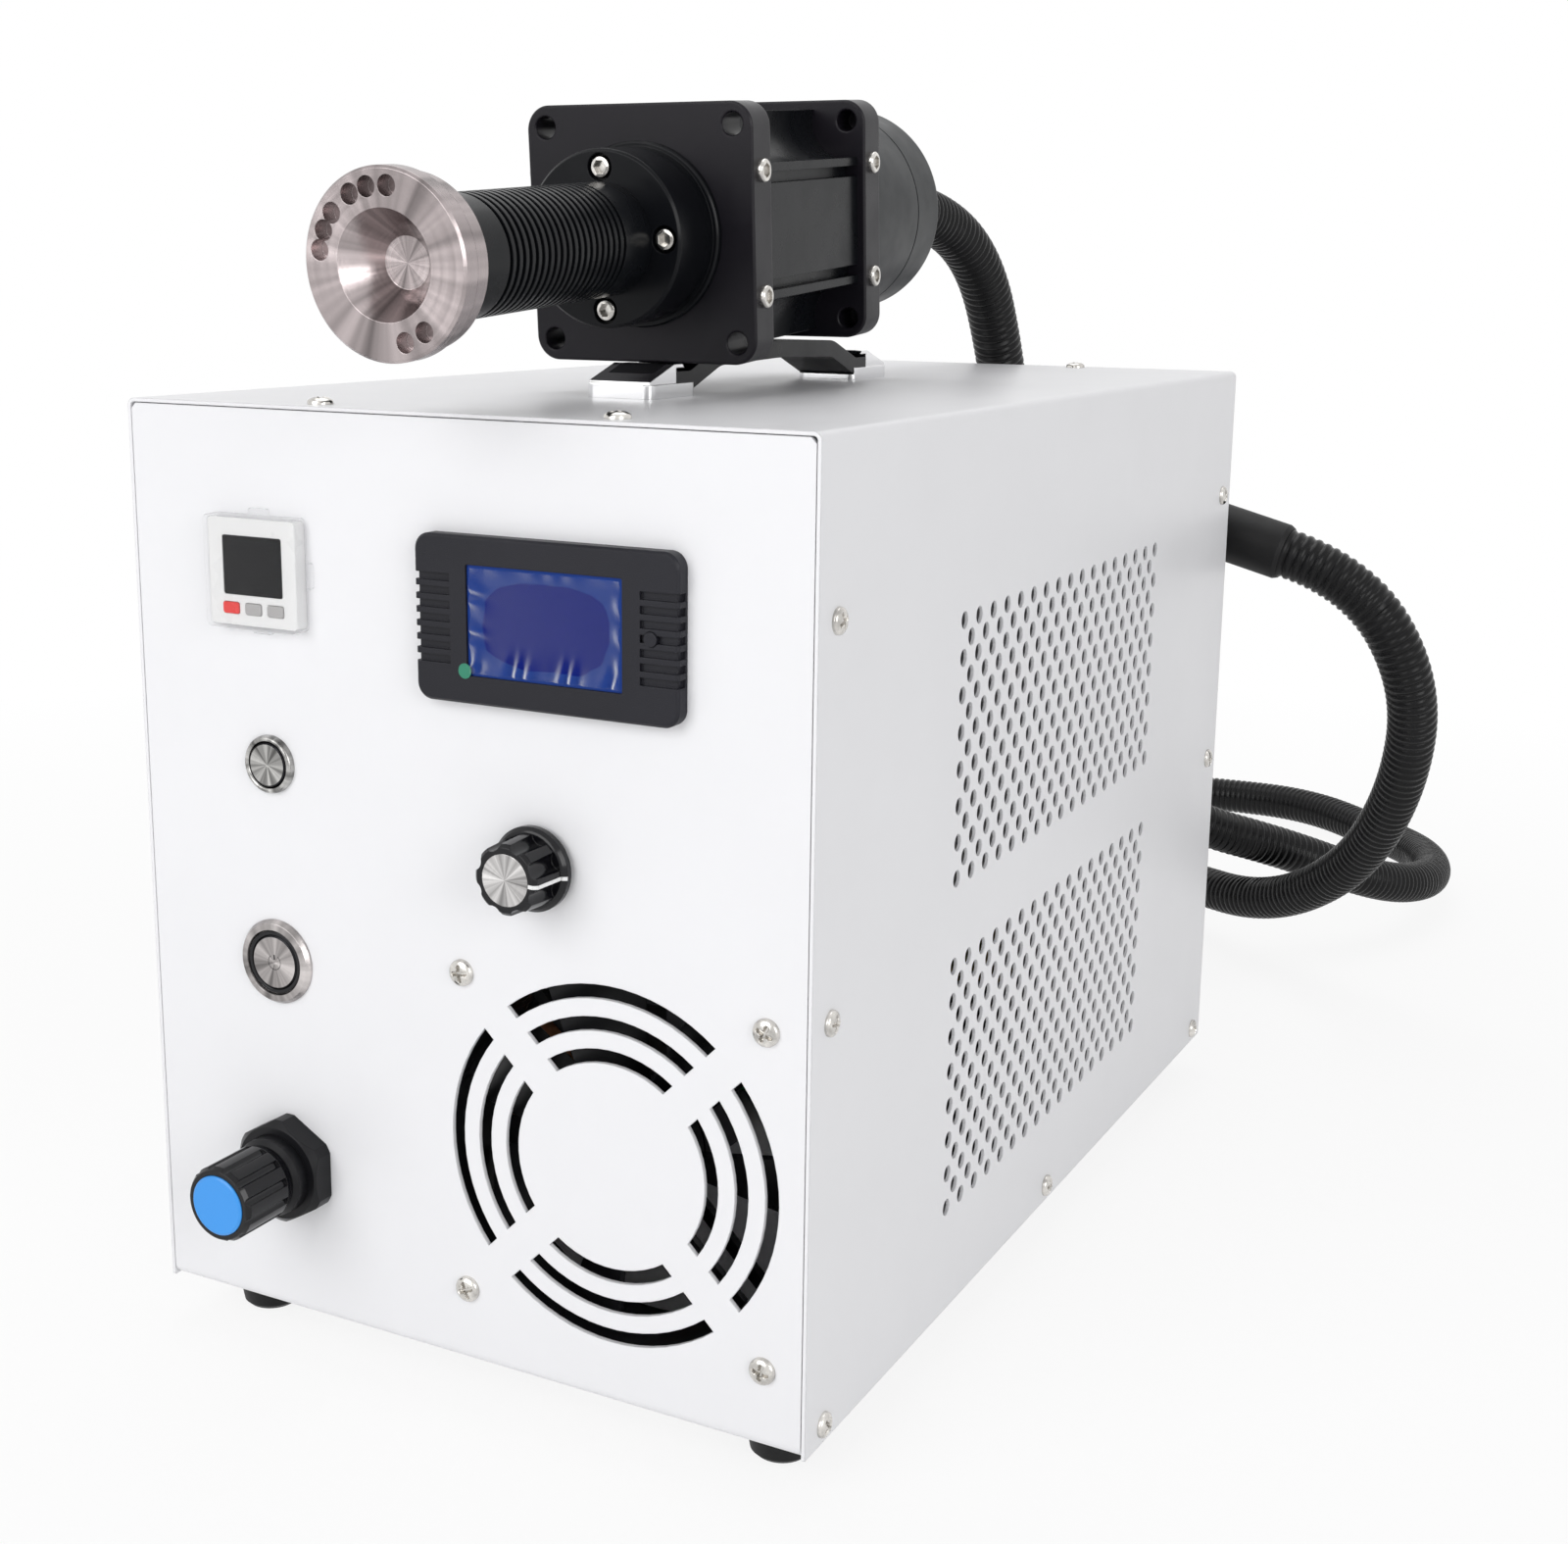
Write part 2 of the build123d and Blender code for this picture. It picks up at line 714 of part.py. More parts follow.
def power_knob_disc():
    disc = rod(knob_disc_radius - slide_gap, knob_reach - 0.6, knob_reach - 0.1)
    return panel_place(knob_x, knob_height) * disc


# Gas regulator
def regulator_place():
    return panel_place(regulator_x, regulator_height)


def regulator_body():
    """Pressure regulator behind the panel, with its threaded bonnet coming through."""
    body = turned([(0, -75), (14, -75), (regulator_body_radius, -70), (regulator_body_radius, -30),
                   (regulator_collar_radius + 2, -26), (regulator_collar_radius + 2, -chassis_sheet),
                   (regulator_collar_radius, -chassis_sheet),
                   (regulator_collar_radius, regulator_nut_depth + 4),
                   (regulator_collar_radius - 1.5, regulator_nut_depth + 5.5),
                   (0, regulator_nut_depth + 5.5)])
    body += Pos(0, 0, -52) * Rot(0, 90, 0) * rod(8, -28, 28)
    body -= rod(regulator_stem_radius + running_gap, -20, regulator_nut_depth + 10)
    return regulator_place() * body


def regulator_nut():
    """Rounded hexagon panel nut."""
    hexagon = Rot(0, 0, 30) * RegularPolygon(regulator_nut_flats / 2, 6, major_radius=False)
    rim = regulator_nut_flats * regulator_nut_round
    nut = extrude(hexagon, regulator_nut_depth)
    nut &= turned([(0, 0), (rim, 0), (rim, regulator_nut_depth - 2), (rim - 2, regulator_nut_depth),
                   (0, regulator_nut_depth)])
    nut -= rod(regulator_collar_radius + running_gap, -1, regulator_nut_depth + 1)
    return regulator_place() * nut


def regulator_stem():
    return regulator_place() * rod(regulator_stem_radius, -20 + running_gap, regulator_reach - 8)


def regulator_knob():
    """Fluted knob, slightly tapered, hollow behind and free to be pulled out on its stem."""
    low = regulator_nut_depth + 5.5 + seat_gap
    body = turned([(0, low), (regulator_knob_radius - 0.8, low), (regulator_knob_radius, low + 3),
                   (regulator_knob_radius, regulator_reach - 2),
                   (regulator_knob_radius - 1, regulator_reach - 0.5),
                   (0, regulator_reach - 0.5)])
    groove = Pos(regulator_knob_radius + 0.5, 0, 0) * rod(1.5, low + 3, regulator_reach + 1)
    for index in range(regulator_flutes):
        body -= Rot(0, 0, (index + 0.5) * 360 / regulator_flutes) * groove
    body -= rod(regulator_stem_radius + running_gap, low - 1, regulator_reach - 7.5)
    body -= rod(regulator_cap_radius, regulator_reach - 2, regulator_reach + 1)
    return regulator_place() * body


def regulator_cap():
    low = regulator_reach - 2
    cap = turned([(0, low), (regulator_cap_radius - slide_gap, low),
                  (regulator_cap_radius - slide_gap, low + 1.8),
                  (regulator_cap_radius - 0.8, low + 2.3), (0, low + 2.3)])
    return regulator_place() * cap


# Rear fittings, modelled with Z out of the rear panel
def inlet_cavity(low, high, margin):
    return rounded_plate(inlet_width - 4 + margin, inlet_tall - 4 + margin, 3, low, high)


def mains_inlet():
    """Appliance inlet with its socket above the fuse drawer."""
    body = rounded_plate(inlet_flange_width, inlet_flange_tall, 4, 0, 2.5)
    body += rounded_plate(inlet_width, inlet_flange_tall - 8, 1.5, -25, 0)
    body -= Pos(0, 8, 0) * inlet_cavity(-inlet_cavity_depth, 4, 0)
    body -= Pos(0, -13, 0) * rounded_plate(20, 9, 1, -fuse_travel - 2, 4)
    return rear_place(inlet_x, inlet_height) * body


def mains_pins():
    pins = []
    for x, y in ((-7, -1.5), (7, -1.5), (0, 2.5)):
        pins.append(Pos(x, 8 + y, 0) * block(about(0, 2), about(0, 4), (-inlet_cavity_depth, -2)))
    return rear_place(inlet_x, inlet_height) * Compound(children=pins)


def fuse_drawer():
    drawer = rounded_plate(20 - 2 * slide_gap, 9 - 2 * slide_gap, 1, -fuse_travel, 2.5)
    drawer += rounded_plate(12, 3, 1, 2.5, 4)
    drawer -= Pos(0, 0, -fuse_travel / 2 + 1) * Box(14, 5, 10)
    return rear_place(inlet_x, inlet_height) * Pos(0, -13, 0) * drawer


def air_inlet():
    """Push-in air fitting: hexagon, body and the bore for the tube."""
    body = extrude(RegularPolygon(8.5, 6), 6) + rod(7, 6, 18) + rod(6, -14, 0)
    body += Pos(0, 0, -chassis_sheet - 3) * extrude(RegularPolygon(9, 6), 3)
    body -= rod(air_tube_radius + 1.2, 12, 19)
    body -= rod(air_tube_radius, 2, 19)
    return rear_place(air_inlet_x, air_inlet_height) * body


def air_collet():
    low = 12 + air_collet_travel + slide_gap
    ring = tube(air_tube_radius + 1.2 - running_gap, air_tube_radius + running_gap, low, 19.5)
    flange = 18 + air_collet_travel + slide_gap
    ring += tube(air_tube_radius + 2.6, air_tube_radius + running_gap, flange, 20.5)
    return rear_place(air_inlet_x, air_inlet_height) * ring


def nozzle_reach():
    """How far the nozzle's rim stands in front of the front panel."""
    tilt = math.hypot(torch_right.Y, torch_up.Y)
    face = torch_origin + torch_aim * (neck_length + hub_height + nozzle_length)
    return front - (face.Y - (nozzle_radius - edge_break) * tilt)


# Torch directions: aim to the nozzle, right and up
def torch_vectors():
    turn = math.radians(torch_turn)
    dip = math.radians(torch_dip)
    aim = Vector(math.sin(turn) * math.cos(dip), -math.cos(turn) * math.cos(dip), -math.sin(dip))
    right = Vector(math.cos(turn), math.sin(turn), 0)
    return aim, right, aim.cross(right)


torch_aim, torch_right, torch_up = torch_vectors()
handle_rest = roof + handle_end_height + seat_gap
torch_origin = Vector(handle_x, front + torch_rest, handle_rest) + torch_up * (plate_size / 2)
torch_plane = Plane(origin=torch_origin, x_dir=torch_right, z_dir=torch_aim)
torch_place = torch_plane.location
body_back = -plate_thickness - body_length
torch_back = body_back - plate_thickness
grip_top = handle_end_height - body_back * math.sin(math.radians(torch_dip))
elbow_set = nozzle_reach() - elbow_radius


def elbow_line():
    """The elbow's corner and the direction in which the hose leaves it."""
    droop = math.radians(elbow_droop)
    corner = Vector(elbow_x, back + elbow_set, base + elbow_height)
    return corner, Vector(math.cos(droop), 0, -math.sin(droop))


def hose_elbow():
    """Conduit elbow: a nut on the rear panel, the bend and the outlet collar."""
    corner, leaving = elbow_line()
    start = Vector(corner.X, back - chassis_sheet - 6, corner.Z)
    outlet = corner + leaving * elbow_reach
    bend = elbow_set * 0.62
    path = FilletPolyline(start, corner, outlet, radius=bend)
    section = Plane(origin=start, z_dir=(0, 1, 0)) * Circle(elbow_radius - 3)
    body = sweep(section, path=path)
    body += rear_place(elbow_x, elbow_height) * extrude(RegularPolygon(elbow_radius + 4, 6), 5)
    body += rear_place(elbow_x, elbow_height) * Pos(0, 0, -chassis_sheet - 4) * extrude(
        RegularPolygon(elbow_radius + 4, 6), 4)
    collar = Plane(origin=outlet - leaving * 8, z_dir=leaving).location * rod(elbow_radius, 0, 8)
    return body + collar


def hose_sleeve():
    """Smooth rubber sleeve on the first stretch of the hose."""
    corner, leaving = elbow_line()
    outlet = corner + leaving * elbow_reach
    return Plane(origin=outlet, z_dir=leaving).location * turned(
        [(0, 0), (sleeve_radius, 0), (sleeve_radius, sleeve_length - 2), (hose_radius + 0.6, sleeve_length),
         (0, sleeve_length)])


def hose_ends():
    corner, leaving = elbow_line()
    start = corner + leaving * (elbow_reach + sleeve_length)
    end = torch_origin + torch_aim * (torch_back - cap_length - gland_length)
    return start, leaving, end


def hose_route():
    """Points of the hose's centreline, from the sleeve to the torch's gland.

    It leaves the sleeve, sweeps to the right and down, passes behind the cabinet, turns in a flat loop on
    the bench, crosses over itself, climbs the back of the cabinet and comes over the roof to the torch."""
    start, leaving, end = hose_ends()
    free = [
        (200, 248, 179),
        (191, 279, 122),
        (162, 319, 69),
        (112, 361, 33),
        (52, 404, 28),
        (-16, 438, 25),
        (-82, 471, 19),
        (-131, 515, 14),
        (-147, 570, 11.3),
        (-123, 623, 11.3),
        (-69, 659, 11.3),
        (-1, 671, 11.3),
        (65, 658, 15),
        (120, 616, 12.5),
        (160, 559, 17),
        (173, 494, 21),
        (156, 435, 32),
        (116, 389, 57),
        (67, 346, 77),
        (30, 309, 116),
        (10, 280, 176),
        (3, 257, 247),
        (4, 231, 315),
        (6, 191, 366),
    ]
    first = start + leaving * hose_first_run
    last = end - torch_aim * hose_last_run
    return [start, first] + [Vector(*point) for point in free] + [last, end]


def route_radii(points):
    """The largest arc at each corner: 0.45 of the shorter run over the tangent of half the turn."""
    radii = []
    for before, here, after in zip(points, points[1:], points[2:]):
        arriving = here - before
        leaving = after - here
        shorter = min(arriving.length, leaving.length)
        turn = math.radians(arriving.get_angle(leaving))
        radii.append(0.45 * shorter / math.tan(turn / 2))
    return radii


def torch_hose():
    points = hose_route()
    radii = route_radii(points)
    path = FilletPolyline(*points, radius=radii)
    section = Plane(origin=points[0], z_dir=points[1] - points[0]) * Circle(hose_radius)
    hose = sweep(section, path=path)
    print("hose length", round(path.length, 1))
    print("smallest hose arcs", [round(radius) for radius in sorted(radii)[:6]])
    print("longest run over its neighbour", round(longest_step(points), 2))
    ideal = math.pi * hose_radius ** 2 * path.length
    print("volume over section times length", round(hose.volume / ideal, 4))
    return hose


def longest_step(points):
    runs = [(b - a).length for a, b in zip(points, points[1:])]
    return max(max(a / b, b / a) for a, b in zip(runs, runs[1:]))


# Handle
def handle_end(facing, y):
    """Plated end cap: a skirt with a wedge on it that rises towards the grip."""
    skirt = block(about(0, handle_width), (0, handle_end_length), (0, handle_skirt_height))
    skirt = fillet(skirt.edges().filter_by(Axis.Z), 3)
    crest = handle_end_length * 0.56
    outline = Polyline((1, handle_skirt_height), (1, handle_skirt_height + 1), (crest, handle_end_height),
                       (handle_end_length - 8, handle_end_height),
                       (handle_end_length - 2, handle_skirt_height),
                       close=True)
    side = Plane(origin=(-handle_width / 2 + 1, 0, 0), x_dir=(0, 1, 0), z_dir=(1, 0, 0))
    wedge = extrude(side * make_face(outline), handle_width - 2)
    mouth = block(about(0, grip_width + 2 * slide_gap), (handle_end_length - 12, handle_end_length + 1),
                  (2.0, handle_end_height - 1.2))
    cap = skirt + wedge - mouth
    return Pos(handle_x, y, roof) * Rot(0, 0, 0 if facing > 0 else 180) * cap


def handle_end_front():
    return handle_end(1, front + handle_front)


def handle_end_rear():
    return handle_end(-1, front + handle_front + handle_length)


def handle_grip():
    """Moulded strap: low in the end caps, arched to the height that carries the torch's rear plate."""
    seat = handle_end_length - 12 + slide_gap
    low = 2.0 + slide_gap + grip_thickness / 2 - 0.6
    high = grip_top - grip_thickness / 2
    middle = handle_length / 2
    first = handle_end_length + grip_ramp
    points = [(seat, low), (handle_end_length - 2, low), (first, high - 1.2), (middle, high),
              (handle_length - first, high - 1.2), (handle_length - handle_end_length + 2, low),
              (handle_length - seat, low)]
    line = FilletPolyline(*points, radius=[8, 20, 100, 20, 8])
    near = front + handle_front
    far = near + handle_length
    side = Plane(origin=(handle_x - grip_width / 2, near, roof), x_dir=(0, 1, 0), z_dir=(1, 0, 0))
    strap = extrude(side * trace(line, grip_thickness - 1.2), grip_width)
    ends = [block(about(handle_x, grip_width * 2), span, (roof - 20, roof + 60))
            for span in ((near - 50, near + seat), (far - seat, far + 50))]
    for end in ends:
        strap -= end
    return strap


# Torch pieces, modelled with Z towards the nozzle, X right and Y up, from the front plate's face
def torch_corners():
    return [Pos(x * plate_hole_offset, y * plate_hole_offset, 0) for x in (-1, 1) for y in (-1, 1)]


def torch_side_places(z):
    """Places of the screws in a plate's two sides, with Z out of the side."""
    places = []
    for side in (-1, 1):
        for y in (-plate_screw_offset, plate_screw_offset):
            places.append(Pos(side * plate_size / 2, y, z) * Rot(0, side * 90, 0))
    return places


def corner_hole(low, high, floor):
    """Cutter for one corner hole with broken edges; a floor below the plate makes it go right through."""
    wide = plate_hole_radius + plate_hole_break
    points = [(0, high + 1), (wide, high + 1), (wide, high), (plate_hole_radius, high - plate_hole_break)]
    if floor < low:
        points += [(plate_hole_radius, low + plate_hole_break), (wide, low), (wide, low - 1), (0, low - 1)]
    else:
        points += [(plate_hole_radius, floor), (0, floor)]
    return turned(points)


def torch_plate(low, hole_floor):
    """One end plate, with its corner holes drilled from the front down to hole_floor."""
    high = low + plate_thickness
    plate = rounded_plate(plate_size, plate_size, plate_corner, low, high)
    plate = chamfer(plate.faces().sort_by(Axis.Z)[-1].edges(), 0.6)
    for place in torch_corners():
        plate -= place * corner_hole(low, high, hole_floor)
    for place in torch_side_places(low + plate_thickness / 2):
        plate -= place * rod(screw_radius + slide_gap, -8, 1)
    return plate


def bearing_seats():
    """Heights of the two bearings on the torch's axis."""
    return (-plate_thickness, hub_height + neck_length - bearing_width - 4)


def torch_front_plate():
    plate = torch_plate(-plate_thickness, -plate_thickness - 1)
    plate -= rod(bearing_radius + running_gap, -plate_thickness - 1, 1)
    return torch_place * plate


def torch_rear_plate():
    return torch_place * torch_plate(torch_back, torch_back + plate_hole_floor)


def torch_body():
    """Extruded body with concave corner channels and two grooves along each side."""
    section = RectangleRounded(body_size, body_size, 2)
    for place in torch_corners():
        section -= place * Circle(body_channel_radius)
    groove = Rectangle(2 * body_groove_depth, body_groove_width)
    for angle in range(0, 360, 90):
        for offset in (-body_groove_offset, body_groove_offset):
            section -= Rot(0, 0, angle) * Pos(body_size / 2, offset) * groove
    body = Pos(0, 0, body_back) * extrude(section, body_length)
    body -= rod(24, body_back + 12, -plate_thickness + 1)
    return torch_place * body


def torch_cap():
    """Round motor cap behind the rear plate, with a parting groove and a rounded end."""
    shell = rod(cap_radius, torch_back - cap_length, torch_back)
    shell = fillet(shell.faces().sort_by(Axis.Z)[0].edges(), 3)
    seam = torch_back - cap_seam
    shell -= tube(cap_radius + 1, cap_radius - 0.8, seam - 0.4, seam + 0.4)
    return torch_place * shell


def torch_hub():
    """Flange boss that clamps the neck, with counterbores for its four screws."""
    hub = turned([(0, 0), (hub_ring_radius, 0), (hub_ring_radius, hub_ring_height - 0.6),
                  (hub_ring_radius - 0.6, hub_ring_height), (hub_radius, hub_ring_height),
                  (hub_radius, hub_height - 0.8), (hub_radius - 0.8, hub_height), (0, hub_height)])
    hub -= rod(neck_core_radius - 4, -1, hub_height + 1)
    for angle in range(0, 360, 90):
        hub -= Rot(0, 0, angle) * Pos(hub_screw_circle, 0, 0) * rod(hub_screw_radius + 0.8, hub_height - 3,
                                                                     hub_height + 1)
    return torch_place * hub


def torch_neck():
    """Finned cooling neck around the nozzle's shaft."""
    top = neck_length
    neck = rod(neck_radius, 0, top)
    for index in range(fin_count):
        low = fin_start + index * fin_pitch
        neck -= tube(neck_radius + 1, neck_core_radius, low, low + fin_pitch - fin_width)
    neck -= rod(neck_core_radius - 4, -1, top - bearing_width - 4)
    neck -= rod(bearing_radius + running_gap, top - bearing_width - 4, top + 1)
    return torch_place * Pos(0, 0, hub_height) * neck


def torch_bearings():
    rings = []
    for low in bearing_seats():
        ring = tube(bearing_radius, torch_shaft_radius + running_gap, low, low + bearing_width)
        rings.append(ring - tube(bearing_radius - 1.6, torch_shaft_radius + 1.6, low + bearing_width - 0.6,
                                 low + bearing_width + 1))
    return torch_place * Compound(children=rings)


def torch_shaft():
    """Hollow shaft that carries the nozzle, with the motor's rotor on its rear end."""
    end = hub_height + neck_length + 2
    shaft = tube(torch_shaft_radius, 2.5, body_back + 16, end)
    shaft += tube(20, 2.5, body_back + 20, -plate_thickness - 6)
    return torch_place * shaft


def torch_stator():
    low = body_back + 18
    ring = tube(24 - running_gap, 20.6, low, -plate_thickness - 4)
    return torch_place * ring


def nozzle():
    """Rotating nozzle disc with its cone and the balance holes drilled in its face."""
    start = hub_height + neck_length + seat_gap
    face = hub_height + neck_length + nozzle_length
    body = turned([(0, start), (nozzle_collar_radius, start), (nozzle_collar_radius, face - nozzle_rim),
                   (nozzle_radius, face - nozzle_rim), (nozzle_radius, face - edge_break),
                   (nozzle_radius - edge_break, face),
                   (nozzle_cone_radius, face), (nozzle_floor_radius, face - nozzle_cone_depth),
                   (0, face - nozzle_cone_depth)])
    hole = Pos(0, balance_circle, 0) * rod(balance_hole_radius, face - balance_hole_depth, face + 1)
    for angle in balance_angles:
        body -= Rot(0, 0, angle) * hole
    socket = hub_height + neck_length + 2 + slide_gap
    body -= rod(torch_shaft_radius + running_gap, start - 1, socket)
    return torch_place * body


def torch_screws():
    """Socket screws of the hub and button screws in the sides of both plates."""
    pieces = []
    seat = hub_height - 3
    for angle in range(0, 360, 90):
        head = tube(hub_screw_radius, 1.6, seat + 0.9, seat + 3) + rod(hub_screw_radius, seat, seat + 1)
        pieces.append(Rot(0, 0, angle) * Pos(hub_screw_circle, 0, 0) * head)
    for low in (-plate_thickness, torch_back):
        for place in torch_side_places(low + plate_thickness / 2):
            pieces.append(place * screw(torch_screw_head_radius, 1.9, screw_radius, 7))
    return torch_place * Compound(children=pieces)


def torch_gland():
    """Hose fitting on the torch's rear end."""
    top = torch_back - cap_length
    fitting = extrude(RegularPolygon(gland_radius + 1.5, 6), gland_length * 0.45)
    fitting = Pos(0, 0, top - gland_length * 0.45) * fitting
    fitting += Pos(0, 0, top - gland_length) * turned(
        [(0, 0), (gland_radius - 2, 0), (gland_radius, 2), (gland_radius, gland_length * 0.6),
         (0, gland_length * 0.6)])
    return torch_place * fitting


# Inside the cabinet: everything stands on the floor of the chassis
def transformer_core():
    core = block(about(-45, 84), about(-40, 56), (deck + 4, deck + 74))
    core -= block(about(-45, 56), about(-40, 80), (deck + 18, deck + 60))
    core += block(about(-45, 84), about(-40, 74), (deck, deck + 4))
    return core


def transformer_coil():
    middle_height = deck + 39
    coil = Pos(-45, -40, middle_height) * Box(55.4, 76, 41.4)
    coil = fillet(coil.edges().filter_by(Axis.X), 12)
    return coil


def heat_sink():
    """Finned heat sink along the right wall, standing on the floor."""
    x = 70
    body = block(about(x, 60), about(60, 130), (deck, deck + 8))
    for index in range(8):
        body += block(about(x - 28 + index * 8, 2.4), about(60, 130), (deck + 8, deck + 38))
    return body


def power_board():
    """Inverter board on its standoffs with capacitors and the switching block."""
    level = deck + 12
    board = block(about(-45, 110), about(70, 120), (level, level + 1.6))
    for x, y in ((-75, 40), (-75, 75), (-50, 40)):
        board += Pos(x, y, 0) * rod(11, level + 1.6, level + 32)
    board += block(about(-20, 36), about(90, 44), (level + 1.6, level + 26))
    board += block(about(-30, 24), about(40, 24), (level + 1.6, level + 18))
    return board


def board_standoffs():
    posts = []
    for x in (-95, 5):
        for y in (16, 124):
            posts.append(Pos(x, y, 0) * rod(3, deck, deck + 12))
    return Compound(children=posts)


def solenoid_valve():
    """Gas valve: brass-like block with its coil, standing on the floor by the rear panel."""
    body = block(about(20, 40), about(170, 22), (deck, deck + 22))
    body += Pos(20, 170, 0) * rod(9, deck + 22, deck + 52)
    body += block(about(20, 24), about(170, 24), (deck + 25, deck + 48))
    return body


nodes = {
    "chassis": chassis,
    "cover": cover,
    "cover_screws": cover_screws,
    "feet": feet,
    "foot_screws": foot_screws,
    "fan_frame": fan_frame,
    "fan_rotor": fan_rotor,
    "fan_screws": fan_screws,
    "gauge_body": gauge_body,
    "gauge_screen": gauge_screen,
    "gauge_key_red": lambda: gauge_key(0),
    "gauge_key_set": lambda: gauge_key(1),
    "gauge_key_down": lambda: gauge_key(2),
    "gauge_cover": gauge_cover,
    "meter_housing": meter_housing,
    "meter_display": meter_display,
    "meter_key": meter_key,
    "start_button_body": start_button_body,
    "start_button_cap": start_button_cap,
    "power_button_body": power_button_body,
    "power_button_cap": power_button_cap,
    "button_nuts": button_nuts,
    "potentiometer": potentiometer,
    "potentiometer_shaft": potentiometer_shaft,
    "power_knob": power_knob,
    "power_knob_disc": power_knob_disc,
    "regulator_body": regulator_body,
    "regulator_nut": regulator_nut,
    "regulator_stem": regulator_stem,
    "regulator_knob": regulator_knob,
    "regulator_cap": regulator_cap,
    "mains_inlet": mains_inlet,
    "mains_pins": mains_pins,
    "fuse_drawer": fuse_drawer,
    "air_inlet": air_inlet,
    "air_collet": air_collet,
    "hose_elbow": hose_elbow,
    "hose_sleeve": hose_sleeve,
    "torch_hose": torch_hose,
    "transformer_core": transformer_core,
    "transformer_coil": transformer_coil,
    "heat_sink": heat_sink,
    "power_board": power_board,
    "board_standoffs": board_standoffs,
    "solenoid_valve": solenoid_valve,
    "handle_end_front": handle_end_front,
    "handle_end_rear": handle_end_rear,
    "handle_grip": handle_grip,
    "torch_front_plate": torch_front_plate,
    "torch_body": torch_body,
    "torch_rear_plate": torch_rear_plate,
    "torch_cap": torch_cap,
    "torch_hub": torch_hub,
    "torch_neck": torch_neck,
    "torch_bearings": torch_bearings,
    "torch_stator": torch_stator,
    "torch_shaft": torch_shaft,
    "nozzle": nozzle,
    "torch_screws": torch_screws,
    "torch_gland": torch_gland,
}

for name, make in nodes.items():
    save(name, make())
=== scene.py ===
# %% [markdown]
# # A bench plasma cleaner, dressed for the camera
#
# The imported CAD model is the frame: every metal part, knob and screw already has its place. This script
# gives each of them a finish, and makes anew the surfaces where a solid modeller's plain shape shows: the
# perforated cover, the corrugated hose, the screws' heads, the start button's rolled bezel. It adds a ring,
# a pressed sign, a painted pointer and a protective film.
# Lengths are in metres. X runs to the right seen from the front, Y to the rear and Z up.

# %% Load the frame
import json
import math

import bpy
import numpy as np
from mathutils import Matrix, Vector


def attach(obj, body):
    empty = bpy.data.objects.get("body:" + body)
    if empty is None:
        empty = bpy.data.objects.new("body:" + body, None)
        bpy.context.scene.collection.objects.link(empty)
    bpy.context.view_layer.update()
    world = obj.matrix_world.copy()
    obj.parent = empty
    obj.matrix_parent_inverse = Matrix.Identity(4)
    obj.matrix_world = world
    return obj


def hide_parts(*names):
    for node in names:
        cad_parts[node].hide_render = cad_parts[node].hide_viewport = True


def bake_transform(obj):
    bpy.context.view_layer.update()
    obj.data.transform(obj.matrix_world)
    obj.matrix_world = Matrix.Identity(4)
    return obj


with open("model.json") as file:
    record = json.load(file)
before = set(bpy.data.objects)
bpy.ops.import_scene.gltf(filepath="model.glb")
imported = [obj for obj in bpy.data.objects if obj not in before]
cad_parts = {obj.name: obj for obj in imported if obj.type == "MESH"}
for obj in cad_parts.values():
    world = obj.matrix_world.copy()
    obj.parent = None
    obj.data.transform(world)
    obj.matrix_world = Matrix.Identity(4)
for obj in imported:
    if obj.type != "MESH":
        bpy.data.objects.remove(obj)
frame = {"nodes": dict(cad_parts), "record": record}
nodes = frame["nodes"]
body_of_node = {}
for body, members in frame["record"]["behaviour"]["bodies"].items():
    for member in members:
        body_of_node[member] = body
bpy.context.view_layer.update()

# %% [markdown]
# ## Measures shared with the solids
#
# The cabinet is 244 by 406 by 300 mm on 16 mm feet. The torch lies on the handle with its nozzle turned a
# little to the right and dipped; its three directions are worked out once and used for every piece on it.

# %% Measures and places
WIDTH, DEPTH, HEIGHT, FOOT = 0.244, 0.406, 0.300, 0.016
FRONT, BACK, ROOF = -DEPTH / 2, DEPTH / 2, FOOT + HEIGHT


def frame_at(origin, right, up, out):
    """A 4 x 4 matrix whose columns are the directions right, up and out, and the origin."""
    matrix = np.eye(4)
    matrix[:3, 0] = right
    matrix[:3, 1] = up
    matrix[:3, 2] = out
    matrix[:3, 3] = origin
    return matrix


def on_panel(x, height):
    """Place on the front panel: X to the right, Y up and Z out towards the viewer."""
    return frame_at((x, FRONT, FOOT + height), (1, 0, 0), (0, 0, 1), (0, -1, 0))


def on_side(y, height, hand=1):
    """Place on the right wall (hand 1) or the left one (hand -1): Y up and Z out."""
    return frame_at((hand * WIDTH / 2, y, FOOT + height), (0, hand, 0), (0, 0, 1), (hand, 0, 0))


def on_roof(x, y):
    """Place on the roof: X to the right, Y to the rear and Z out."""
    return frame_at((x, y, ROOF), (1, 0, 0), (0, 1, 0), (0, 0, 1))


TURN, DIP = math.radians(2.0), math.radians(4.17)
aim = np.array([math.sin(TURN) * math.cos(DIP), -math.cos(TURN) * math.cos(DIP), -math.sin(DIP)])
across = np.array([math.cos(TURN), math.sin(TURN), 0.0])
above = np.cross(aim, across)
torch_origin = np.array([0.006, FRONT + 0.1043, ROOF + 0.011]) + 0.041 * above
TORCH = frame_at(torch_origin, across, above, aim)
print("torch aim", aim.round(4), "origin", torch_origin.round(4))

# %% [markdown]
# ## The camera
#
# The photograph's viewpoint was found by fitting the cabinet's corners, screws and vents: a lens of about
# 48 mm, 0.7 m away, 28 degrees to the right of the front and 12 degrees above. A small shift keeps the
# photograph's framing.

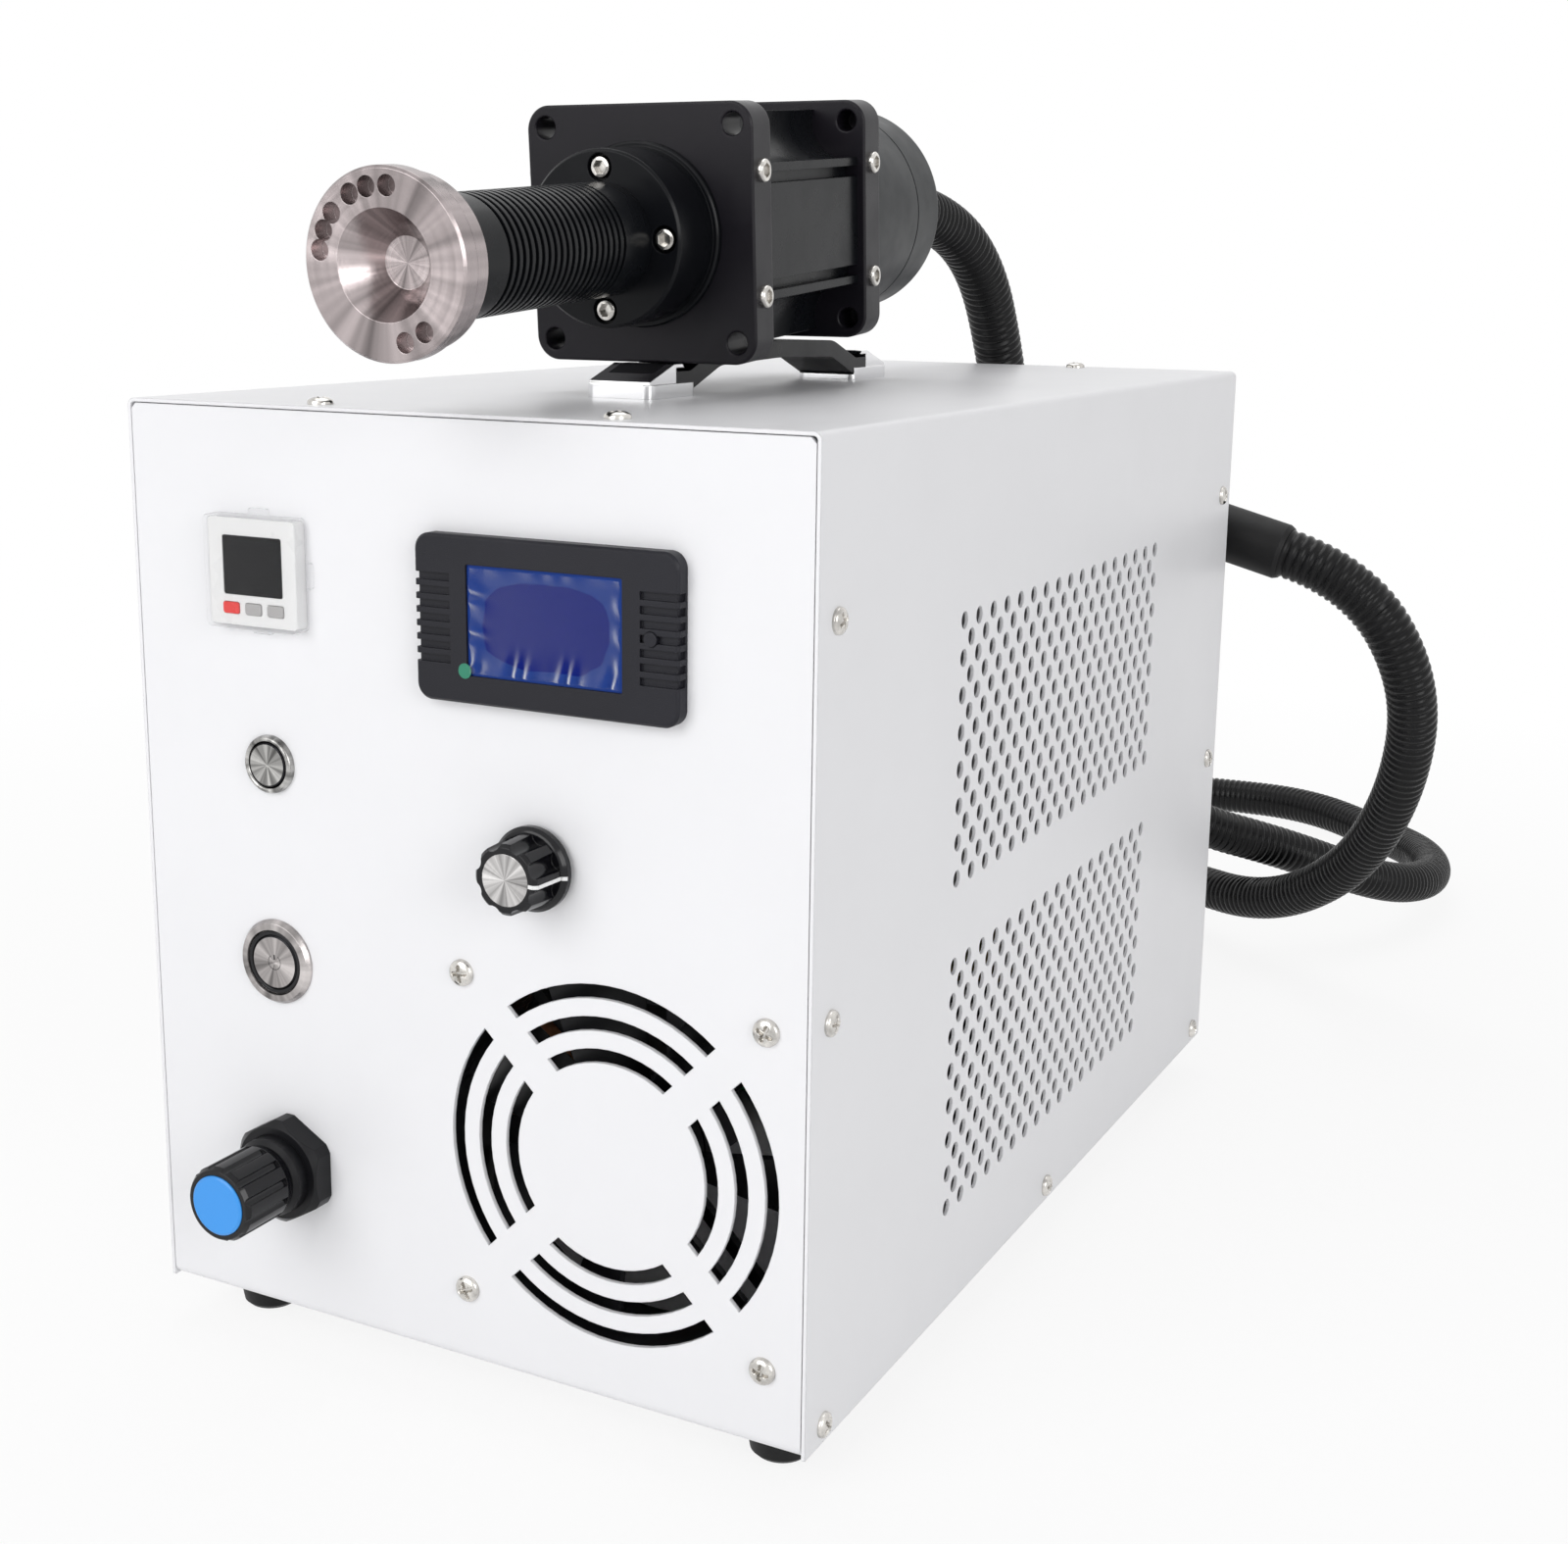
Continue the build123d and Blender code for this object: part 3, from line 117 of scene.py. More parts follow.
# %% Camera
azimuth, elevation, roll = map(math.radians, (27.894, 12.317, -0.557))
away = Vector((math.sin(azimuth) * math.cos(elevation), -math.cos(azimuth) * math.cos(elevation),
               math.sin(elevation)))
level = Vector((0, 0, 1)).cross(away).normalized()
upright = away.cross(level)
right = math.cos(roll) * level - math.sin(roll) * upright
up = math.sin(roll) * level + math.cos(roll) * upright
camera_data = bpy.data.cameras.new("camera")
camera_data.sensor_fit = "HORIZONTAL"
camera_data.sensor_width = 36.0
camera_data.lens = 36.0 * 2147.62 / 1600
camera_data.shift_x = (800 - 760.56) / 1600
camera_data.shift_y = (739.74 - 787.5) / 1600
camera_data.clip_start = 0.01
camera = bpy.data.objects.new("camera", camera_data)
camera.matrix_world = Matrix((
    (right.x, up.x, away.x, 0.365335),
    (right.y, up.y, away.y, -0.501306 - 0.203),
    (right.z, up.z, away.z, 0.342507 + 0.016),
    (0, 0, 0, 1),
))
bpy.context.scene.collection.objects.link(camera)
bpy.context.scene.camera = camera
print("lens", round(camera_data.lens, 2))

# %% [markdown]
# ## Surfaces from numbers
#
# Every new piece is a grid of points worked out with numpy: an outline turned about an axis, or a section
# carried along a line. `place` moves such a grid from its own axes into the frame, and `add_mesh` hands the
# finished arrays to Blender in one go, so no piece needs to be moved afterwards.

# %% Mesh helpers
def grid_faces(rows, columns, around=False, start=0):
    """Quads of a rows x columns grid: face (i, j) joins points (i, j), (i, j+1), (i+1, j+1) and (i+1, j)."""
    i = np.arange(rows - 1)[:, None]
    j = np.arange(columns if around else columns - 1)[None, :]
    following = (j + 1) % columns
    quads = np.stack([i * columns + j, i * columns + following, (i + 1) * columns + following,
                      (i + 1) * columns + j], axis=-1)
    return quads.reshape(-1, 4) + start


def place(points, matrix):
    """Points p carried by a 4 x 4 matrix M: p' = R p + t."""
    points = np.asarray(points, float).reshape(-1, 3)
    return points @ matrix[:3, :3].T + matrix[:3, 3]


def lathe(outline, segments=96):
    """Point (i, j) is (r_i cos a_j, r_i sin a_j, z_i) for the outline's (r, z), with a_j round the axis.

    A first or last radius of 0 closes that end with triangles, written as quads that name their last point
    twice."""
    outline = np.asarray(outline, float)
    first, last = outline[0, 0] == 0, outline[-1, 0] == 0
    rings = outline[int(first):len(outline) - int(last)]
    angle = np.linspace(0, 2 * math.pi, segments, endpoint=False)
    radius, z = rings[:, :1], np.broadcast_to(rings[:, 1:], (len(rings), segments))
    points = np.stack([radius * np.cos(angle), radius * np.sin(angle), z], axis=-1).reshape(-1, 3)
    faces = grid_faces(len(rings), segments, around=True)
    j = np.arange(segments)
    following = (j + 1) % segments
    if first:
        pole = np.full(segments, len(points))
        points = np.concatenate([points, [[0, 0, outline[0, 1]]]])
        faces = np.concatenate([faces, np.stack([pole, following, j, j], axis=1)])
    if last:
        pole = np.full(segments, len(points))
        end = (len(rings) - 1) * segments
        points = np.concatenate([points, [[0, 0, outline[-1, 1]]]])
        faces = np.concatenate([faces, np.stack([end + j, end + following, pole, pole], axis=1)])
    return points, faces


def join(pieces):
    """Several (points, faces) pairs as one pair; face numbers are shifted by the points before them."""
    points, faces, total = [], [], 0
    for one_points, one_faces in pieces:
        points.append(np.asarray(one_points, float).reshape(-1, 3))
        faces.append(np.asarray(one_faces) + total)
        total += len(points[-1])
    return np.concatenate(points), np.concatenate(faces)


def add_mesh(name, points, faces, material, body, replaced=(), slot=None, smooth_angle=32.0):
    """A mesh object from arrays of points and quads, riding on a body. Edges over smooth_angle stay sharp."""
    mesh = bpy.data.meshes.new(name)
    mesh.vertices.add(len(points))
    mesh.vertices.foreach_set("co", np.asarray(points, np.float32).ravel())
    used = np.ones(faces.shape, bool)
    used[:, -1] = faces[:, -1] != faces[:, -2]
    sizes = used.sum(axis=1)
    mesh.loops.add(int(sizes.sum()))
    mesh.loops.foreach_set("vertex_index", faces[used].astype(np.int32))
    mesh.polygons.add(len(faces))
    mesh.polygons.foreach_set("loop_start", (np.cumsum(sizes) - sizes).astype(np.int32))
    mesh.update(calc_edges=True)
    mesh.validate()
    mesh.shade_smooth()
    mesh.set_sharp_from_angle(angle=math.radians(smooth_angle))
    piece = bpy.data.objects.new(name, mesh)
    piece.data.materials.append(material)
    bpy.context.scene.collection.objects.link(piece)
    if body:
        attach(piece, body)
    if replaced:
        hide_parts(*replaced)
    return piece


# %% [markdown]
# ## Finishes
#
# One recipe serves most surfaces: a base colour that wanders a little over some centimetres, a fine grain
# that tilts the surface, and a roughness that wanders with it. What makes powder coat, anodising, rubber or
# moulded plastic is the size and depth of that grain. A bevel of the shading normal breaks every sharp edge.

# %% Finish recipe
def node_tree(name):
    """A new material with its node tree and its main shader."""
    material = bpy.data.materials.new(name)
    material.use_nodes = True
    tree = material.node_tree
    return material, tree, tree.nodes["Principled BSDF"]


def link(tree, source, target):
    tree.links.new(source, target)


def noise(tree, vector, scale, detail=3.0, roughness=0.55):
    """Smooth noise from 0 to 1, mostly 0.3 to 0.7, with 'scale' swells per metre."""
    node = tree.nodes.new("ShaderNodeTexNoise")
    node.inputs["Scale"].default_value = scale
    node.inputs["Detail"].default_value = detail
    node.inputs["Roughness"].default_value = roughness
    link(tree, vector, node.inputs["Vector"])
    return node.outputs["Fac"]


def spread(tree, factor, low, high, start=0.3, end=0.7):
    """The factor's stretch from start to end mapped straight to low to high, and held at both beyond it."""
    node = tree.nodes.new("ShaderNodeMapRange")
    node.inputs["From Min"].default_value = start
    node.inputs["From Max"].default_value = end
    node.inputs["To Min"].default_value = low
    node.inputs["To Max"].default_value = high
    link(tree, factor, node.inputs["Value"])
    return node.outputs["Result"]


def sums(tree, kind, first, second=0.0, third=0.0):
    """One Math node; each input is a socket or a number."""
    node = tree.nodes.new("ShaderNodeMath")
    node.operation = kind
    for socket, value in zip(node.inputs, (first, second, third)):
        if isinstance(value, (int, float)):
            socket.default_value = value
        else:
            link(tree, value, socket)
    return node.outputs[0]


def two_colours(tree, factor, first, second):
    """first x (1 - factor) + second x factor."""
    node = tree.nodes.new("ShaderNodeMix")
    node.data_type = "RGBA"
    node.inputs["A"].default_value = (*first, 1)
    node.inputs["B"].default_value = (*second, 1)
    link(tree, factor, node.inputs["Factor"])
    return node.outputs["Result"]


def finish(name, colour, rough, metallic=0.0, wander=0.04, grain=900.0, depth=0.00002, edge=0.0004,
           rough_wander=0.06, coat=0.0, specular=0.5, second=None, patch=22.0):
    """Slow noise moves the colour c (1 +- wander) and the roughness +- rough_wander; a fine noise of 'grain'
    swells per metre tilts the surface."""
    material, tree, shader = node_tree(name)
    where = tree.nodes.new("ShaderNodeTexCoord").outputs["Object"]
    slow = spread(tree, noise(tree, where, patch), 0.0, 1.0)
    pale = tuple(min(1.0, c * (1 + wander)) for c in (second or colour))
    dark = tuple(c * (1 - wander) for c in colour)
    link(tree, two_colours(tree, slow, dark, pale), shader.inputs["Base Color"])
    link(tree, spread(tree, noise(tree, where, patch * 3.1), rough - rough_wander, rough + rough_wander),
         shader.inputs["Roughness"])
    shader.inputs["Metallic"].default_value = metallic
    shader.inputs["Coat Weight"].default_value = coat
    shader.inputs["Coat Roughness"].default_value = 0.08
    shader.inputs["Specular IOR Level"].default_value = specular
    bump = tree.nodes.new("ShaderNodeBump")
    bump.inputs["Strength"].default_value = 1.0
    bump.inputs["Distance"].default_value = depth
    link(tree, noise(tree, where, grain, 2.0), bump.inputs["Height"])
    if edge:
        bevel = tree.nodes.new("ShaderNodeBevel")
        bevel.samples = 4
        bevel.inputs["Radius"].default_value = edge
        link(tree, bevel.outputs["Normal"], bump.inputs["Normal"])
    link(tree, bump.outputs["Normal"], shader.inputs["Normal"])
    return material


# %% [markdown]
# ### Turned metal
#
# The nozzle, the buttons and the knob's disc come off a lathe. Light gathers on such a face in bright and
# dark sectors that meet at its middle. Here those sectors are painted into the base colour as a painted
# reflection: noise of the direction from the axis paints them with no picture and no seam, and anisotropy
# draws each highlight out across the grooves.

# %% Turned metal
def ring_colour(tree, radius, ring, shade):
    """Near black where the radius lies within the ring, else the shade given."""
    middle, half = (ring[0] + ring[1]) / 2, (ring[1] - ring[0]) / 2
    mix = tree.nodes.new("ShaderNodeMix")
    mix.data_type = "RGBA"
    link(tree, sums(tree, "COMPARE", radius, middle, half), mix.inputs["Factor"])
    link(tree, shade, mix.inputs["A"])
    mix.inputs["B"].default_value = (0.02, 0.02, 0.022, 1)
    return mix.outputs["Result"]


def turned(name, colour, rough, matrix, groove=9000.0, depth=0.000004, anisotropy=0.75, metallic=1.0,
           dark=0.35, sectors=1.7, ring=None):
    """Lathe marks depend only on the distance from the axis and the place along it. The grooves run along
    axis x (p - origin), which is the tangent. Painted reflection: the base colour runs from colour x dark to
    colour in sectors, by noise of the direction from the axis alone. A ring (from, to) is dark."""
    material, tree, shader = node_tree(name)
    shader.inputs["Metallic"].default_value = metallic
    shader.inputs["Anisotropic"].default_value = anisotropy
    where = tree.nodes.new("ShaderNodeTexCoord").outputs["Object"]
    inverse = Matrix(matrix.tolist()).inverted()
    local = tree.nodes.new("ShaderNodeMapping")
    local.inputs["Location"].default_value = inverse.to_translation()
    local.inputs["Rotation"].default_value = inverse.to_euler("XYZ")
    link(tree, where, local.inputs["Vector"])
    parts = tree.nodes.new("ShaderNodeSeparateXYZ")
    link(tree, local.outputs["Vector"], parts.inputs["Vector"])
    flat = tree.nodes.new("ShaderNodeCombineXYZ")
    link(tree, parts.outputs["X"], flat.inputs["X"])
    link(tree, parts.outputs["Y"], flat.inputs["Y"])
    radius = tree.nodes.new("ShaderNodeVectorMath")
    radius.operation = "LENGTH"
    link(tree, flat.outputs["Vector"], radius.inputs[0])
    section = tree.nodes.new("ShaderNodeCombineXYZ")
    link(tree, radius.outputs["Value"], section.inputs["X"])
    link(tree, parts.outputs["Z"], section.inputs["Z"])
    marks = noise(tree, section.outputs["Vector"], groove, 2.0, 0.7)
    bands = noise(tree, section.outputs["Vector"], groove / 12, 2.0)
    direction = tree.nodes.new("ShaderNodeVectorMath")
    direction.operation = "NORMALIZE"
    link(tree, flat.outputs["Vector"], direction.inputs[0])
    # painted reflection: bright and dark sectors round the axis, painted into the base colour
    painted_reflection_sectors = spread(tree, noise(tree, direction.outputs["Vector"], sectors, 2.5, 0.6), 0.0, 1.0)
    shade = two_colours(tree, painted_reflection_sectors, tuple(c * dark for c in colour), colour)
    if ring:
        shade = ring_colour(tree, radius.outputs["Value"], ring, shade)
    link(tree, shade, shader.inputs["Base Color"])
    link(tree, spread(tree, bands, rough - 0.07, rough + 0.07), shader.inputs["Roughness"])
    bump = tree.nodes.new("ShaderNodeBump")
    bump.inputs["Distance"].default_value = depth
    link(tree, marks, bump.inputs["Height"])
    bevel = tree.nodes.new("ShaderNodeBevel")
    bevel.samples = 4
    bevel.inputs["Radius"].default_value = 0.0003
    link(tree, bevel.outputs["Normal"], bump.inputs["Normal"])
    link(tree, bump.outputs["Normal"], shader.inputs["Normal"])
    outward = tree.nodes.new("ShaderNodeVectorMath")
    outward.operation = "SUBTRACT"
    link(tree, where, outward.inputs[0])
    outward.inputs[1].default_value = tuple(matrix[:3, 3])
    tangent = tree.nodes.new("ShaderNodeVectorMath")
    tangent.operation = "CROSS_PRODUCT"
    tangent.inputs[0].default_value = tuple(matrix[:3, 2])
    link(tree, outward.outputs["Vector"], tangent.inputs[1])
    link(tree, tangent.outputs["Vector"], shader.inputs["Tangent"])
    return material


# %% [markdown]
# ## Materials
#
# The cabinet is white powder coat with a slight orange peel. The torch is black anodised aluminium, finer
# and less glossy than the moulded black of the knobs. The nozzle and the small discs are turned steel.

# %% Materials
white_coat = finish("white_powder_coat", (0.84, 0.84, 0.86), 0.36, wander=0.008, grain=700, depth=0.000018,
                    edge=0.0006, rough_wander=0.03, specular=0.4)
anodised = finish("black_anodised", (0.004, 0.005, 0.0065), 0.27, wander=0.15, grain=2600, depth=0.000008,
                  edge=0.0005, specular=0.15, second=(0.006, 0.0065, 0.008))
anodised_plate = finish("black_anodised_plate", (0.0070, 0.0065, 0.0095), 0.33, wander=0.12, grain=3000,
                        depth=0.000022, edge=0.0007, specular=0.2, second=(0.0095, 0.0080, 0.0115))
anodised_hub = finish("black_anodised_turned", (0.0045, 0.0050, 0.0065), 0.22, wander=0.1, grain=2600,
                      depth=0.000005, edge=0.0005, specular=0.15)
cap_plastic = finish("cap_black", (0.0085, 0.0105, 0.0125), 0.38, wander=0.12, grain=2200, depth=0.000015,
                     edge=0.0005, specular=0.25)
moulded_black = finish("moulded_black", (0.007, 0.007, 0.0085), 0.32, wander=0.15, grain=2400, depth=0.00002,
                       specular=0.22)
gloss_black = finish("gloss_black", (0.003, 0.003, 0.0045), 0.14, wander=0.1, grain=1200, depth=0.000004,
                     rough_wander=0.04, specular=0.35)
charcoal = finish("charcoal_textured", (0.0125, 0.0125, 0.0175), 0.42, wander=0.12, grain=2600, depth=0.00006,
                  edge=0.0005, specular=0.25)
rubber = finish("rubber_black", (0.006, 0.006, 0.0065), 0.5, wander=0.2, grain=1500, depth=0.00004,
                specular=0.25)
hose_plastic = finish("hose_black", (0.0045, 0.0045, 0.005), 0.27, wander=0.3, grain=1500, depth=0.00003,
                      edge=0, rough_wander=0.08, specular=0.2)
white_plastic = finish("white_moulding", (0.80, 0.80, 0.80), 0.3, wander=0.01, grain=2000, depth=0.00001)
grey_key = finish("grey_key", (0.42, 0.41, 0.41), 0.35, wander=0.03, grain=2000, depth=0.00001)
red_key = finish("red_key", (0.78, 0.035, 0.03), 0.3, wander=0.05, grain=2000, depth=0.00001)
blue_plastic = finish("blue_cap", (0.040, 0.31, 0.82), 0.33, wander=0.03, grain=1800, depth=0.00001)
green_film = finish("green_tab", (0.02, 0.22, 0.13), 0.3, wander=0.08, grain=1500, depth=0.00001)
pointer_paint = finish("pointer_white", (0.85, 0.85, 0.85), 0.4, wander=0.02, grain=2000, depth=0.00001)
dark_window = finish("dark_window", (0.0035, 0.0035, 0.0045), 0.08, wander=0.05, grain=500, depth=0.000001,
                     rough_wander=0.02, specular=0.12)
zinc = finish("nickel_screw", (0.62, 0.60, 0.57), 0.2, metallic=1.0, wander=0.3, grain=1600, depth=0.000008,
              edge=0.0002, rough_wander=0.08, patch=260)
brass = finish("brass_turned", (0.70, 0.52, 0.26), 0.3, metallic=1.0, wander=0.08, grain=1600, depth=0.00001)
copper = finish("copper_winding", (0.62, 0.28, 0.14), 0.35, metallic=1.0, wander=0.15, grain=2600,
                depth=0.0001)
iron = finish("laminated_core", (0.12, 0.12, 0.13), 0.5, metallic=0.8, wander=0.2, grain=2000, depth=0.00005)
aluminium = finish("raw_aluminium", (0.62, 0.63, 0.64), 0.34, metallic=1.0, wander=0.05, grain=1500,
                   depth=0.00001)
board = finish("solder_mask", (0.02, 0.13, 0.05), 0.35, wander=0.15, grain=900, depth=0.00003)
START, POWER, KNOB = on_panel(-0.0693, 0.1874), on_panel(-0.0696, 0.1221), on_panel(0.031, 0.1683)
# dark and sectors below set the painted reflection sectors of each turned face
stainless = turned("turned_stainless", (0.66, 0.58, 0.58), 0.22, TORCH, dark=0.26, sectors=2.1)
start_metal = turned("turned_start_button", (0.74, 0.73, 0.71), 0.2, START, groove=14000, dark=0.07,
                     sectors=1.9, ring=(0.0066, 0.00716))
power_metal = turned("turned_power_button", (0.66, 0.62, 0.61), 0.22, POWER, groove=12000, dark=0.2,
                     sectors=1.5, ring=(0.0084, 0.0091))
knob_metal = turned("turned_knob_disc", (0.92, 0.90, 0.89), 0.2, KNOB, groove=12000, dark=0.16, sectors=2.4)
print("materials", len(bpy.data.materials))


# %% [markdown]
# ### Finishes with a pattern of their own
#
# The gauge's lid and the meter's film are clear where one looks straight through them and whitish along
# their edges, a painted reflection: the white opacity on slanted parts stands in for the light they reflect.
# Glass that bends light would be slow here and would darken what lies under it, so the opacity follows
# the slope. The display is deep blue where the film clings to it and paler round that. The handle's end caps
# are plated, with a black insert on top; the script finds it by its place, since each cap is one solid.

# %% Clear plastic
def clear_plastic(name, colour, rough, most, power, specular):
    """Clear where seen straight on; along the surface its opacity rises to most by a power of the slope, a
    painted reflection.
    """
    material, tree, shader = node_tree(name)
    shader.inputs["Base Color"].default_value = (*colour, 1)
    shader.inputs["Roughness"].default_value = rough
    shader.inputs["Specular IOR Level"].default_value = specular
    facing = tree.nodes.new("ShaderNodeLayerWeight")
    facing.inputs["Blend"].default_value = 0.5
    steep = sums(tree, "POWER", facing.outputs["Facing"], power)
    link(tree, spread(tree, steep, 0.0, most, 0.0, 0.8), shader.inputs["Alpha"])
    return material


# whitish opacity at a slant on lid and film: painted reflection
clear_lid = clear_plastic("clear_lid", (0.74, 0.74, 0.75), 0.06, 0.85, 3.0, 0.04)
clear_film = clear_plastic("clear_film", (0.86, 0.88, 0.92), 0.12, 1.0, 2.4, 0.15)
print("clear", clear_lid.name, clear_film.name)


# %% Blue display
CLING_HALF_X, CLING_HALF_Z, CLING_EDGE = 0.0235, 0.0140, (1.12, 1.17)
CLING_SWELLS, CLING_WANDER = 55.0, 0.9
DEEP_BLUE, PALE_BLUE = (0.0015, 0.0100, 0.175), (0.014, 0.045, 0.235)


def blue_display(x, z):
    """Deep blue where |x / a| ** 3 + |z / b| ** 3 + 0.9 noise is under about 1.15, paler blue outside it."""
    material, tree, shader = node_tree("blue_display")
    where = tree.nodes.new("ShaderNodeTexCoord").outputs["Object"]
    parts = tree.nodes.new("ShaderNodeSeparateXYZ")
    link(tree, where, parts.inputs["Vector"])
    total = sums(tree, "MULTIPLY", noise(tree, where, CLING_SWELLS), CLING_WANDER)
    for axis, middle, half in (("X", x, CLING_HALF_X), ("Z", z, CLING_HALF_Z)):
        socket = parts.outputs[axis]
        share = sums(tree, "ABSOLUTE", sums(tree, "DIVIDE", sums(tree, "SUBTRACT", socket, middle), half))
        total = sums(tree, "ADD", total, sums(tree, "POWER", share, 3.0))
    edge = spread(tree, total, 0.0, 1.0, *CLING_EDGE)
    link(tree, two_colours(tree, edge, DEEP_BLUE, PALE_BLUE), shader.inputs["Base Color"])
    shader.inputs["Roughness"].default_value = 0.12
    shader.inputs["Specular IOR Level"].default_value = 0.1
    return material


METER_X, METER_HEIGHT = 0.0368, 0.2408
display_blue = blue_display(METER_X, FOOT + METER_HEIGHT)
print("display", display_blue.name)


# %% Plated cap with its insert
CHROME, INSERT = (0.78, 0.78, 0.79), (0.008, 0.008, 0.010)


def plated_insert(x, half, low):
    """Chrome, but black moulding where |X - x| < half and Z > low."""
    material, tree, shader = node_tree("chrome_with_insert")
    where = tree.nodes.new("ShaderNodeTexCoord").outputs["Object"]
    parts = tree.nodes.new("ShaderNodeSeparateXYZ")
    link(tree, where, parts.inputs["Vector"])
    inside = sums(tree, "MULTIPLY", sums(tree, "COMPARE", parts.outputs["X"], x, half),
                  sums(tree, "GREATER_THAN", parts.outputs["Z"], low))
    link(tree, two_colours(tree, inside, CHROME, INSERT), shader.inputs["Base Color"])
    link(tree, sums(tree, "SUBTRACT", 1.0, inside), shader.inputs["Metallic"])
    link(tree, spread(tree, inside, 0.09, 0.34, 0.0, 1.0), shader.inputs["Roughness"])
    bump = tree.nodes.new("ShaderNodeBump")
    bump.inputs["Distance"].default_value = 0.00001
    link(tree, noise(tree, where, 900.0), bump.inputs["Height"])
    bevel = tree.nodes.new("ShaderNodeBevel")
    bevel.samples = 4
    bevel.inputs["Radius"].default_value = 0.0005
    link(tree, bevel.outputs["Normal"], bump.inputs["Normal"])
    link(tree, bump.outputs["Normal"], shader.inputs["Normal"])
    return material


HANDLE_X, INSERT_HALF, INSERT_RISE = 0.006, 0.0085, 0.0078
handle_plate = plated_insert(HANDLE_X, INSERT_HALF, ROOF + INSERT_RISE)
print("handle ends", handle_plate.name)

# %% [markdown]
# ### Which node gets which finish
#
# Every solid of the frame keeps its mesh and its place, and only its material is set. The few that a new
# piece stands in for are named where that piece is made. Sorting them by finish, and not by place, shows at
# a glance what the object is made of.

# %% Finish of each node
by_node = {
    white_coat: "chassis cover",
    zinc: "cover_screws foot_screws fan_screws torch_screws button_nuts potentiometer potentiometer_shaft "
          "torch_bearings torch_shaft",
    rubber: "feet hose_sleeve",
    moulded_black: "fan_frame fan_rotor regulator_body regulator_nut mains_inlet fuse_drawer hose_elbow "
                   "handle_grip torch_gland",
    white_plastic: "gauge_body",
    dark_window: "gauge_screen",
    red_key: "gauge_key_red",
    grey_key: "gauge_key_set gauge_key_down air_collet",
    charcoal: "meter_housing meter_key",
    clear_lid: "gauge_cover",
    display_blue: "meter_display",
    gloss_black: "power_knob regulator_knob",
    blue_plastic: "regulator_cap",
    start_metal: "start_button_body start_button_cap",
    power_metal: "power_button_body power_button_cap",
    knob_metal: "power_knob_disc",
    brass: "regulator_stem mains_pins air_inlet board_standoffs solenoid_valve",
    copper: "transformer_coil torch_stator",
    iron: "transformer_core",
    aluminium: "heat_sink",
    board: "power_board",
    handle_plate: "handle_end_front handle_end_rear",
    anodised_plate: "torch_front_plate torch_rear_plate",
    anodised: "torch_body torch_neck",
    anodised_hub: "torch_hub",
    cap_plastic: "torch_cap",
    stainless: "nozzle",
}
for material, names in by_node.items():
    for name in names.split():
        nodes[name].data.materials.clear()
        nodes[name].data.materials.append(material)
print("finished nodes", sum(len(names.split()) for names in by_node.values()))

# %% [markdown]
# ## The hose
#
# A corrugated conduit, 22 mm across and 1.74 m long, from the sleeve at the elbow to the torch. Its line is
# one smooth spline with the route's points as control points: it sweeps right and down, passes behind the
# cabinet, turns in a flat loop on the bench, crosses over itself and climbs to the torch. Both ends are
# fixed, so this is its whole length. The rings could be an array of solids, but a section carried along the
# line, whose radius goes up and down with the distance, is one skin.

# %% Hose line
ROUTE = [
    (0.14134, 0.23145, 0.23581), (0.17418, 0.23145, 0.22701), (0.200, 0.248, 0.179), (0.191, 0.279, 0.122),
    (0.162, 0.319, 0.069), (0.112, 0.361, 0.033), (0.052, 0.404, 0.028), (-0.016, 0.438, 0.025),
    (-0.082, 0.471, 0.019), (-0.131, 0.515, 0.014), (-0.147, 0.570, 0.0113), (-0.123, 0.623, 0.0113),
    (-0.069, 0.659, 0.0113), (-0.001, 0.671, 0.0113), (0.065, 0.658, 0.015), (0.120, 0.616, 0.0125),
    (0.160, 0.559, 0.017), (0.173, 0.494, 0.021), (0.156, 0.435, 0.032), (0.116, 0.389, 0.057),
    (0.067, 0.346, 0.077), (0.030, 0.309, 0.116), (0.010, 0.280, 0.176), (0.003, 0.257, 0.247),
    (0.004, 0.231, 0.315), (0.006, 0.191, 0.366), (-0.00220, 0.13654, 0.38526), (-0.00051, 0.08770, 0.38171),
]


def spline_points(name, points, resolution=24):
    """The points of a smooth NURBS curve through a list of control points, read back from Blender."""
    data = bpy.data.curves.new(name, "CURVE")
    data.dimensions = "3D"
    data.resolution_u = resolution
    line = data.splines.new("NURBS")
    line.points.add(len(points) - 1)
    line.points.foreach_set("co", np.c_[np.array(points), np.ones(len(points))].ravel())
    line.order_u = 3
    line.use_endpoint_u = True
    holder = bpy.data.objects.new(name, data)
    bpy.context.scene.collection.objects.link(holder)
    bpy.context.view_layer.update()
    mesh = bpy.data.meshes.new_from_object(holder)
    found = np.empty(len(mesh.vertices) * 3)
    mesh.vertices.foreach_get("co", found)
    bpy.data.objects.remove(holder)
    bpy.data.meshes.remove(mesh)
    return found.reshape(-1, 3)


def evenly(points, step):
    """The same line with points a fixed step apart, and the distance of each from its start."""
    lengths = np.linalg.norm(np.diff(points, axis=0), axis=1)
    travelled = np.r_[0.0, np.cumsum(lengths)]
    count = int(round(travelled[-1] / step)) + 1
    along = np.linspace(0, travelled[-1], count)
    return np.stack([np.interp(along, travelled, points[:, axis]) for axis in range(3)], axis=1), along


def frames_along(points):
    """A pair of directions across the line at each point, carried along it without twist."""
    tangent = np.gradient(points, axis=0)
    tangent /= np.linalg.norm(tangent, axis=1)[:, None]
    side = np.empty_like(tangent)
    side[0] = np.cross(tangent[0], (0, 0, 1))
    for index in range(1, len(points)):
        side[index] = side[index - 1] - tangent[index] * np.dot(side[index - 1], tangent[index])
        side[index] /= np.linalg.norm(side[index])
    side[0] /= np.linalg.norm(side[0])
    return side, np.cross(tangent, side)


